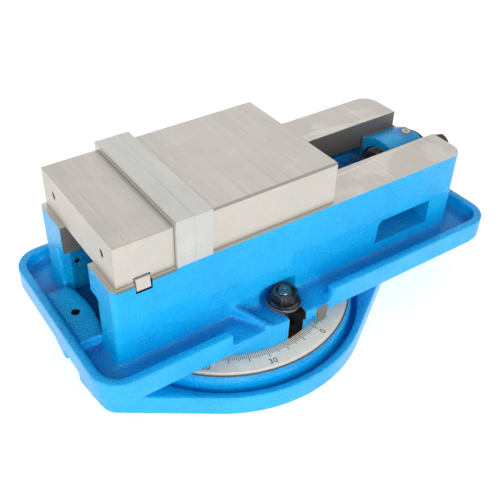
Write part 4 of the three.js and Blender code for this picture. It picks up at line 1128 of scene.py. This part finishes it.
def machine_body(body):
    """The cuts that leave bare metal: bed, slot, keyway, bores, seats and strips."""
    cavity, slot_top = CAVITY_HALF + 0.2, BED_TOP + 40
    shelf = rounded(FRONT_X - 9, WALL_X1 + FAR, SLOT_HALF, 6, 1)
    screw_axis, oiler = {"centre": (0, SCREW_Z), "axis": "X"}, ((OILER_LOW.x + OILER_HIGH.x) / 2, 0)
    line = -TRAY_HALF / math.tan(scale_zero())
    index = BODY_LOW.y
    return cut(
        body,
        # The cavity is cut in darker enamel as painted shade.
        block((WALL_X0 + 12, -cavity, CAVITY_FLOOR - 0.2), (FRONT_X, cavity, LIP_BOTTOM), "inner"),
        *both_sides(chip_window),
        block((-FAR, -FAR, BED_TOP), (FAR, FAR, slot_top), "steel"),
        block((-FAR, -SLOT_HALF, LIP_BOTTOM - 1), (FRONT_X - 0.4, SLOT_HALF, slot_top), "bore"),
        block((-FAR, -FAR, BOSS_BOTTOM - 40), (FAR, FAR, BOSS_BOTTOM), "bore"),
        prism(shelf, HOUSING_RADIUS + SCREW_Z + 0.5, slot_top, "bore"),
        # The keyway's gap is near-black as painted shade.
        block((KEYWAY_X0, -FAR, KEY_LOW.z - 2), (KEYWAY_X1, FAR, KEY_HIGH.z + 1), "oily"),
        # The index pad is dark bored iron, partly painted shade.
        block((INDEX_LOW - 2, -TRAY_HALF - 20, 0), (INDEX_HIGH + 2, index, TRAY_FLOOR + 2), "bore"),
        post(PIVOT_HIGH.x + PLAY, BOSS_BOTTOM - 4, PIVOT_HIGH.z + PLAY, "bore"),
        post(BEARING_BORE, HOUSING_X0 - 4, BEARING_SEAT, "bore", **screw_axis),
        post(BUSH_HIGH.y + PLAY, BEARING_SEAT - 2, WALL_X1 + 4, "bore", **screw_axis),
        block((WALL_X1, -29, SCREW_Z - 40), (WALL_X1 + 30, 29, SHELF_TOP + 30), "bore"),
        *side_cuts(-1),
        *side_cuts(1),
        # The platform's hole and the far wall's hole are near-black as painted shade.
        post(4.5, TRAY_BOTTOM - 4, PLATFORM_TOP + 4, "oily", centre=(TRAY_X0 + 24.5, 0), sides=40),
        post(2.8, CAVITY_HALF - 2, CAVITY_HALF + 3, "oily", centre=(-147, 97), axis="Y", sides=32),
        post(3.3, SCREW_Z + 14, OILER_HIGH.z, "bore", centre=oiler, sides=32),
        post(5.3, OILER_HIGH.z - 2.7, OILER_HIGH.z + 9, "bore", centre=oiler, sides=32),
        block((line - 0.3, index - 2, BOSS_BOTTOM), (line + 0.3, index + 0.4, TRAY_FLOOR - 8), "engraving"),
    )


# ---------------------------------------------------------------- jaws


def jaw_block(low, high, chamfer, finish, edge=0.5):
    """A ground block whose long upper edges carry a chamfer."""
    half, top = high.y, high.z
    outline = [(-half, low.z), (half, low.z), (half, top - chamfer), (half - chamfer, top),
               (-half + chamfer, top), (-half, top - chamfer)]
    return softened(prism(outline, low.x, high.x, finish, "X"), edge, 2)


def counterbored(x, facing, y):
    """The cuts for one screw through a jaw plate whose clamping face is at x."""
    mouth, bottom = sorted((x - facing * MARGIN, x + facing * 11))
    start, end = sorted((x - facing * MARGIN, x + facing * 24))
    place = (y, PLATE_SCREW_Z)
    over, under = x - facing, x + facing * 0.9
    lip = [(0, over), (9.4 + 1, over), (PLATE_SCREW_SEAT, under), (0, under)]
    return [
        post(PLATE_SCREW_SEAT, mouth, bottom, "bore", centre=place, axis="X", sides=48),
        post(PLATE_SCREW_HOLE, start, end, "bore", centre=place, axis="X", sides=32),
        turned(lip, "steel", centre=place, axis="X", sides=48),
    ]


def make_fixed_jaw():
    jaw = jaw_block(FIXED_LOW, FIXED_HIGH, 0.8, "steel")
    # The keyway is near-black as painted shade.
    cut(jaw, block((KEYWAY_X0, -99, 0), (KEYWAY_X1, 99, KEY_HIGH.z + 1), "oily"))
    x, end = FIXED_LOW.x, FIXED_HIGH.x
    mouth = [(0, x - 1), (5.4, x - 1), (4, x + 0.8), (0, x + 0.8)]
    for side in (-1, 1):
        place, screw = (side * STOP_HOLE_Y, STOP_HOLE_Z), (side * PLATE_SCREW_Y, PLATE_SCREW_Z)
        cut(
            jaw,
            post(4, x - MARGIN, x + 20, "bore", centre=place, axis="X", sides=40),
            turned(mouth, "steel", centre=place, axis="X", sides=40),
            post(PLATE_SCREW_HOLE, end - 22, end + 3, "bore", screw, "X", 32),
            *[post(RAIL_SCREW_HOLE, 100, BED_TOP + 19, "bore", centre=(row, side * RAIL_SCREW_Y), sides=32)
              for row in RAIL_SCREW_X],
        )
    finished(jaw, "fixed_jaw_block", "body", "ground_steel", "fixed_jaw")


def make_moving_jaw():
    jaw = jaw_block(MOVING_LOW, MOVING_HIGH, 2, "steel")
    start, end = MOVING_LOW.x, MOVING_HIGH.x
    low, top, back = LOCK_Z - 30, BED_TOP + 35, end - 17.3
    pocket = [(LOCK_X + 30, low), (back, low), (back, top), (LOCK_X - 17 - 1.4, top)]
    cut(
        jaw,
        prism(pocket, -23, 23, "bore", "Y"),
        post(6.3, end - 20, end + MARGIN, "bore", (0, LOCK_Z), "X", 40),
    )
    edge, top = MOVING_HIGH.y, MOVING_HIGH.z
    for side in (-1, 1):
        flat = [(side * (edge + 1), top - 3.2), (side * (edge + 1), top + 1), (side * (edge - 3.2), top + 1)]
        screw = (side * PLATE_SCREW_Y, PLATE_SCREW_Z)
        cut(
            jaw,
            prism(flat, start - MARGIN, end + MARGIN, "milled", "X"),
            post(PLATE_SCREW_HOLE, start - 3, start + 22, "bore", screw, "X", 32),
        )
    finished(jaw, "moving_jaw_block", "jaw", "ground_steel", "moving_jaw")


def make_jaw_plates():
    plates = (
        ("fixed", FIXED_PLATE_LOW, FIXED_PLATE_HIGH, -1, FIXED_PLATE_HIGH.x, "body"),
        ("moving", MOVING_PLATE_LOW, MOVING_PLATE_HIGH, 1, MOVING_PLATE_LOW.x, "jaw"),
    )
    for label, low, high, facing, face, body in plates:
        low, high = Vector(low), Vector(high)
        (high if facing < 0 else low).x -= facing * 0.12
        plate = jaw_block(low, high, 0.2, "plate", 0.12)
        for side in (-1, 1):
            cut(plate, *counterbored(face, facing, side * PLATE_SCREW_Y))
        finished(plate, f"{label}_clamping_plate", body, "hardened_steel", f"{label}_jaw_plate")


def make_keys():
    low, high = KEY_LOW, KEY_HIGH
    outline = [(low.y, low.z), (high.y, low.z), (high.y - 1.5, high.z), (low.y, high.z)]
    for label, side in (("front", -1), ("back", 1)):
        key = softened(prism(outline, low.x, high.x, "steel", "X"), 0.7, 3)
        if side < 0:
            mirrored(key)
        finished(key, f"key_{label}", "body", "ground_steel", f"jaw_key_{label}")


# ---------------------------------------------------------------- nut and angle lock


def make_nut():
    low, high = NUT_LOW, NUT_HIGH
    half, bed = SLOT_HALF - PLAY, BED_TOP - PLAY
    wings = softened(block((low.x, low.y, low.z), (high.x, high.y, LIP_BOTTOM - PLAY), "enamel"), 2.5, 4)
    stem = softened(block((low.x, -half, LIP_BOTTOM - 4), (high.x, half, bed), "enamel"), 1, 3)
    back = high.x - 53.3
    slope = [(LOCK_X + 18 + 2, BED_TOP - 2), (back, BED_TOP - 2), (back, high.z), (LOCK_X - 16, high.z)]
    nut = fused(wings, stem, prism(slope, -22, 22, "steel", "Y"))
    start, end = high.x - 1.4, high.x + 1.6
    sides = ((-50, -SLOT_HALF + PLAY), (SLOT_HALF - PLAY, 50))
    cut(
        nut,
        post(SCREW_RADIUS + PLAY, low.x - 4, high.x + 4, "bore", centre=(0, SCREW_Z), axis="X", sides=64),
        lathed([(0, start), (SCREW_RADIUS, start), (SCREW_RADIUS + 3, end), (0, end)], "bore"),
        *[block((low.x - 9, y0, BED_TOP - 26), (high.x + 9, y1, BED_TOP + 0.1), "steel") for y0, y1 in sides],
    )
    finished(nut, "jaw_nut_casting", "jaw", "blue_paint", "jaw_nut")


def make_lock():
    curve = [(12 * math.cos(a), 12 * math.sin(a)) for a in np.linspace(0.1, 1.4, 14)]
    half = turned([(0, 0), (12, 0), *curve, (0, 12)], "plate", sides=64)
    low, high = extent("lock_half_ball")
    lean = Vector((-1, 0, -1)).to_track_quat("Z", "Y").to_matrix()
    moved(half, lean, (LOCK_X, 0, LOCK_Z))
    lowest = [min(vertex.co[axis] for vertex in half.data.vertices) / MM for axis in (0, 2)]
    moved(half, None, (max(0.0, low.x - lowest[0]), 0, max(0.0, low.z - lowest[1])))
    finished(half, "lock_segment", "jaw", "hardened_steel", "lock_half_ball")
    x0, x1 = MOVING_HIGH.x - 53, MOVING_HIGH.x - 2
    profile = [(0, x0), (4.5, x0), (6, x0 + 1.5), (6, x1 - 1), (5, x1), (0, x1)]
    screw = turned(profile, "oxide", (0, LOCK_Z), "X", 40)
    cut(screw, hexagon(6, x1 - 6, x1 + 2, "oxide", (0, LOCK_Z), "X"))
    finished(screw, "lock_set_screw", "jaw", "black_oxide", "nut_set_screw")


# ---------------------------------------------------------------- clamping screw and bearing


def make_screw(sizes):
    low, high = SCREW_LOW, SCREW_HIGH
    axis = (0, SCREW_Z)
    flange = extent("thrust_race_front")[0].x - PLAY
    hex_start = high.x - 35
    pitch = sizes.screw_pitch / MM
    root = SCREW_RADIUS - 0.5 * pitch
    rim = high.y
    core = lathed(
        [
            (0, low.x), (root - 2, low.x), (root, low.x + 2), (root, flange - 14),
            (SCREW_RADIUS, flange - 12), (SCREW_RADIUS, flange - 8), (rim - 1, flange - 8),
            (rim, flange - 7), (rim, flange - 1), (rim - 1, flange), (SCREW_RADIUS, flange),
            (SCREW_RADIUS, hex_start), (0, hex_start),
        ],
        "phosphate",
    )
    start, corner = hex_start - 1, WRENCH_FLATS / math.sqrt(3)
    tip = [(0, start), (corner, start), (corner, high.x - 2.2), (corner - 2.2, high.x), (0, high.x)]
    nose = lathed(tip, "phosphate")
    flats = hexagon(WRENCH_FLATS, start, high.x, "phosphate", axis, "X", math.pi / 6)
    combine(nose, flats, "INTERSECT")
    cut(nose, lathed([(0, high.x - 4), (2.6, high.x + 0.4), (0, high.x + 0.4)], "phosphate", 32))
    fused(core, softened(nose, 0.4, 2))
    worm = thread(low.x + 1, flange - 11, SCREW_RADIUS, pitch, "phosphate", left_handed=True)
    moved(worm, Matrix.Rotation(QUARTER, 3, "Y"), (0, 0, SCREW_Z))
    finished(gathered(core, worm), "clamping_screw", "screw", "dark_phosphate", "lead_screw", crease=24)


def make_collar():
    low, high = COLLAR_LOW, COLLAR_HIGH
    collar = sleeve(SCREW_BORE, high.y, low.x, high.x, "phosphate", 0.8, 1.2)
    middle = (low.x + high.x) / 2
    hole = post(3.3, 0, high.y + 4, "bore", sides=32)
    cut(collar, moved(hole, Matrix.Rotation(-QUARTER, 3, "X"), (middle, 0, SCREW_Z)))
    finished(collar, "end_collar", "screw", "dark_phosphate", "screw_collar")
    low, high = extent("collar_set_screw")
    profile = [(0, low.y), (2.2, low.y), (3, low.y + 0.8), (3, high.y - 0.4), (2.6, high.y), (0, high.y)]
    pin = turned(profile, "oxide", (middle, SCREW_Z), "Y", 32)
    cut(pin, hexagon(3, high.y - 3, high.y + 2, "oxide", (middle, SCREW_Z), "Y"))
    finished(pin, "collar_grub_screw", "screw", "black_oxide", "collar_set_screw")


def make_bearing():
    races = (("inner", "screw", "thrust_race_front", -1), ("outer", "body", "thrust_race_rear", 1))
    for label, body, node, way in races:
        low, high = extent(node)
        groove = (high.y + SCREW_BORE) / 2
        bottom = (high.x if way < 0 else low.x) - way * 1.5
        race = sleeve(SCREW_BORE, high.y, low.x, high.x, "polished", 0.5, 0.5)
        angles = np.linspace(0, FULL, 17)[:-1]
        track = lathed([(groove + 2.4 * math.cos(a), bottom + 2.4 * math.sin(a)) for a in angles], "polished")
        finished(cut(race, track), f"bearing_race_{label}", body, "polished_steel", node)
    low, high = extent("thrust_ball_cage")
    middle, circle = (low.x + high.x) / 2, (extent("thrust_race_rear")[1].y + SCREW_RADIUS + PLAY) / 2
    start, end = middle - 1.2, middle + 1.2
    cage = lathed([(circle - 3, start), (circle + 3, start), (circle + 3, end), (circle - 3, end)], "brass")
    shells = [cage]
    for index in range(12):
        angle = FULL * index / 12
        ball = turned(ball_profile((high.x - low.x) / 2, 0, 13), "polished", sides=24)
        place = (middle, circle * math.cos(angle), SCREW_Z + circle * math.sin(angle))
        shells.append(moved(ball, None, place))
    finished(gathered(*shells), "ball_cage", "screw", "polished_steel", "thrust_ball_cage")
    bush = sleeve(SCREW_BORE, BUSH_HIGH.y, BUSH_LOW.x, BUSH_HIGH.x, "bronze", 0.6, 0.6)
    finished(bush, "bronze_bush", "body", "bronze", "screw_bush")


def make_oiler():
    x = (OILER_LOW.x + OILER_HIGH.x) / 2
    low, top = OILER_LOW.z, OILER_HIGH.z
    cup = turned(
        [(0, low), (2.4, low), (3, low + 0.6), (3, top - 2.4), (5, top - 2.4), (5, top - 0.7), (4.3, top),
         (2.9, top), (2.1, top - 0.9), (2.1, top - 3.6), (0, top - 3.6)],
        "brass", (x, 0), "Z", 48,
    )
    finished(cup, "oiler_fitting", "body", "oiler_brass", "oiler_cup")
    low, high = extent("oiler_ball")
    profile = ball_profile((high.z - low.z) / 2, (high.z + low.z) / 2, 15)
    ball = turned(profile, "bronze", (x, 0), "Z", 32)
    finished(ball, "oiler_check_ball", "body", "polished_steel", "oiler_ball")


# ---------------------------------------------------------------- clamps and screws


def clamp_bolt(place, top, end, pitch):
    """A T-bolt whose head's top is at top and whose threaded end is at end."""
    head = softened(block((-14, -14, top - 10), (14, 14, top), "oxide"), 0.8, 3)
    root = STUD_RADIUS - 0.5 * pitch
    stem = turned(
        [(0, top - 1), (STUD_RADIUS, top - 1), (STUD_RADIUS, top + 18), (root, top + 20), (root, end - 1),
         (root - 1, end), (1.4, end), (0.4, end - 1.6), (0, end - 1.6)],
        "oxide", sides=48,
    )
    fused(head, stem)
    bolt = gathered(head, thread(top + 17, end - 0.4, STUD_RADIUS, pitch, "oxide"))
    return moved(bolt, Matrix.Rotation(math.atan2(place[1], place[0]), 3, "Z"), (*place, 0))


def flange_nut(low, high, turn, place):
    """A hexagon nut with a round flange, its top rounded off and its bore countersunk."""
    nut = hexagon(WRENCH_FLATS, low, high, "oxide", turn=turn)
    corner = WRENCH_FLATS / math.sqrt(3)
    crown = turned(
        [(0, low), (corner, low), (corner, high - 2.0), (corner - 1, high - 1.1),
         (corner - 2.9, high), (0, high)],
        "oxide",
    )
    combine(nut, crown, "INTERSECT")
    flange = turned(
        [(0, low), (15.5, low), (16, low + 0.5), (16, low + 1.3), (14.9, low + 2), (12, low + 2.4),
         (0, low + 2.4)],
        "oxide",
    )
    fused(nut, flange)
    start, end, bore = high - 1, high + 0.4, STUD_RADIUS + 0.2
    cut(
        nut,
        post(STUD_RADIUS + PLAY, low - 2, high + 2, "oxide", sides=64),
        turned([(0, start), (bore, start), (STUD_RADIUS + 1.6, end), (0, end)], "oxide", sides=64),
    )
    return moved(softened(nut, 0.35, 2, 35), None, (*place, 0))


def make_clamps(sizes):
    for label, side in (("front", -1), ("back", 1)):
        place = (STUD_X, side * STUD_Y)
        bolt = clamp_bolt(place, T_TOP - PLAY, extent(f"t_bolt_{label}")[1].z, sizes.stud_pitch / MM)
        finished(bolt, f"clamp_bolt_{label}", "body", "black_oxide", f"t_bolt_{label}", crease=24)
        low, high = (corner.z for corner in extent(f"clamp_washer_{label}"))
        washer = turned(
            [(8.6, low), (17, low), (17.5, low + 0.5), (17.5, high - 0.7), (16.8, high), (8.9, high),
             (8.3, high - 0.5), (8.3, low + 0.4)],
            "oxide", place,
        )
        finished(washer, f"washer_{label}", "body", "black_oxide", f"clamp_washer_{label}")
        low, high = (corner.z for corner in extent(f"clamp_nut_{label}"))
        nut = flange_nut(low, high, math.radians(20) * side, place)
        finished(nut, f"flange_nut_{label}", f"{label}_nut", "black_oxide", f"clamp_nut_{label}")


def make_cap_screws():
    upside_down = Matrix.Rotation(math.pi, 3, "X")
    for label, side in (("front", -1), ("back", 1)):
        for row, x in enumerate(RAIL_SCREW_X, 1):
            name = f"fixed_jaw_screw_{label}_{row}"
            place = (x, side * RAIL_SCREW_Y, LIP_BOTTOM - PLAY)
            cap_screw(6, 9, 12, 10, 48, f"rail_bolt_{label}_{row}", "body", name, place, upside_down)
        for jaw, body, face, facing in (
            ("fixed", "body", FIXED_PLATE_HIGH.x, -1), ("moving", "jaw", MOVING_PLATE_LOW.x, 1)
        ):
            turn = Matrix.Rotation(-facing * QUARTER, 3, "Y")
            place = (face + facing * 10.7, side * PLATE_SCREW_Y, PLATE_SCREW_Z)
            name = f"{jaw}_plate_screw_{label}"
            cap_screw(5, 8, 10, 8, 30, f"{jaw}_plate_bolt_{label}", body, name, place, turn)


# ---------------------------------------------------------------- stage

FLOOR_HALF = 3000
LIGHTS = (  # name, place, size and power
    ("key_softbox", (-0.8, -2.1, 1.0), 1.6, 33),
    ("fill_softbox", (-2.2, -0.2, 0.9), 1.4, 8),
    ("back_softbox", (1.3, 1.9, 1.75), 2.6, 13),
)
LIGHT_AIM = Vector((0.05, 0, 0.08))
EYE, EYE_AIM = Vector((-0.3478, -0.5281, 0.5850)), Vector((-0.0436, -0.0529, 0.1539))


def pointed(thing, place, aim):
    """Stands a light or the camera at a place and points it."""
    thing.location = place
    thing.rotation_euler = (aim - Vector(place)).to_track_quat("-Z", "Y").to_euler()
    return thing


def make_stage():
    scene = bpy.context.scene
    scene.view_settings.view_transform = "Standard"
    floor = block((-FLOOR_HALF, -FLOOR_HALF, -1), (FLOOR_HALF, FLOOR_HALF, -0.05), "paper")
    floor.name = floor.data.name = "floor"
    world = bpy.data.worlds.new("studio")
    world.use_nodes = True
    world.node_tree.nodes["Background"].inputs["Color"].default_value = (1, 1, 1, 1)
    world.node_tree.nodes["Background"].inputs["Strength"].default_value = 0.5
    scene.world = world
    for name, place, size, power in LIGHTS:
        light = bpy.data.lights.new(name, "AREA")
        light.shape, light.size, light.energy = "DISK", size, power
        pointed(placed(name, light), place, LIGHT_AIM)
    camera = bpy.data.cameras.new("camera")
    camera.lens = 54.13
    camera.sensor_width = 36
    camera.shift_x, camera.shift_y = 0.0711, -0.0356
    scene.camera = pointed(placed("camera", camera), EYE, EYE_AIM)


# ---------------------------------------------------------------- operators and panel


class VISE_OT_stage(bpy.types.Operator):
    """Sets up the floor, the soft lights and the camera"""

    bl_idname = "vise.stage"
    bl_label = "Stage"

    def execute(self, context):
        make_stage()
        return {"FINISHED"}


class VISE_OT_base(bpy.types.Operator):
    """Builds the swivel base with its degree scale, and the pivot"""

    bl_idname = "vise.base"
    bl_label = "Swivel Base"

    def execute(self, context):
        make_base(context.scene.vise_sizes)
        make_pivot()
        return {"FINISHED"}


class VISE_OT_body(bpy.types.Operator):
    """Builds the body casting with its tray, walls and machined faces"""

    bl_idname = "vise.body"
    bl_label = "Body Casting"

    def execute(self, context):
        make_body(context.scene.vise_sizes)
        return {"FINISHED"}


class VISE_OT_jaws(bpy.types.Operator):
    """Builds the fixed and moving jaws, their plates and the keys"""

    bl_idname = "vise.jaws"
    bl_label = "Jaws and Keys"

    def execute(self, context):
        make_fixed_jaw()
        make_moving_jaw()
        make_jaw_plates()
        make_keys()
        return {"FINISHED"}


class VISE_OT_lock(bpy.types.Operator):
    """Builds the jaw's nut, the half ball of the angle lock and its set screw"""

    bl_idname = "vise.lock"
    bl_label = "Nut and Angle Lock"

    def execute(self, context):
        make_nut()
        make_lock()
        return {"FINISHED"}


class VISE_OT_screw(bpy.types.Operator):
    """Builds the clamping screw, its collar, thrust bearing and bush"""

    bl_idname = "vise.screw"
    bl_label = "Clamping Screw"

    def execute(self, context):
        make_screw(context.scene.vise_sizes)
        make_collar()
        make_bearing()
        return {"FINISHED"}


class VISE_OT_oiler(bpy.types.Operator):
    """Builds the ball oiler on the bearing housing"""

    bl_idname = "vise.oiler"
    bl_label = "Oiler"

    def execute(self, context):
        make_oiler()
        return {"FINISHED"}


class VISE_OT_clamps(bpy.types.Operator):
    """Builds the clamp bolts with their washers and flange nuts"""

    bl_idname = "vise.clamps"
    bl_label = "Clamp Bolts"

    def execute(self, context):
        make_clamps(context.scene.vise_sizes)
        return {"FINISHED"}


class VISE_OT_cap_screws(bpy.types.Operator):
    """Builds the cap screws of the fixed jaw and of the jaw plates"""

    bl_idname = "vise.cap_screws"
    bl_label = "Cap Screws"

    def execute(self, context):
        make_cap_screws()
        return {"FINISHED"}


STEPS = (
    VISE_OT_stage, VISE_OT_base, VISE_OT_body, VISE_OT_jaws, VISE_OT_lock, VISE_OT_screw, VISE_OT_oiler,
    VISE_OT_clamps, VISE_OT_cap_screws,
)


class VISE_PT_panel(bpy.types.Panel):
    """The vise's pieces, sizes and finishes"""

    bl_idname = "VISE_PT_panel"
    bl_label = "Machine Vise"
    bl_space_type = "VIEW_3D"
    bl_region_type = "UI"
    bl_category = "Vise"

    def draw(self, context):
        for step in STEPS:
            self.layout.operator(step.bl_idname)
        for group in (context.scene.vise_sizes, context.scene.vise_finishes):
            column = self.layout.column(align=True)
            for name in group.__annotations__:
                column.prop(group, name)


CLASSES = (ViseSizes, ViseFinishes, *STEPS, VISE_PT_panel)


def register():
    for kind in CLASSES:
        bpy.utils.register_class(kind)
    bpy.types.Scene.vise_sizes = PointerProperty(type=ViseSizes)
    bpy.types.Scene.vise_finishes = PointerProperty(type=ViseFinishes)


def unregister():
    del bpy.types.Scene.vise_finishes
    del bpy.types.Scene.vise_sizes
    for kind in reversed(CLASSES):
        bpy.utils.unregister_class(kind)


def main():
    register()
    bpy.ops.vise.stage()
    bpy.ops.vise.base()
    bpy.ops.vise.body()
    bpy.ops.vise.jaws()
    bpy.ops.vise.lock()
    bpy.ops.vise.screw()
    bpy.ops.vise.oiler()
    bpy.ops.vise.clamps()
    bpy.ops.vise.cap_screws()


if __name__ == "__main__":
    main()
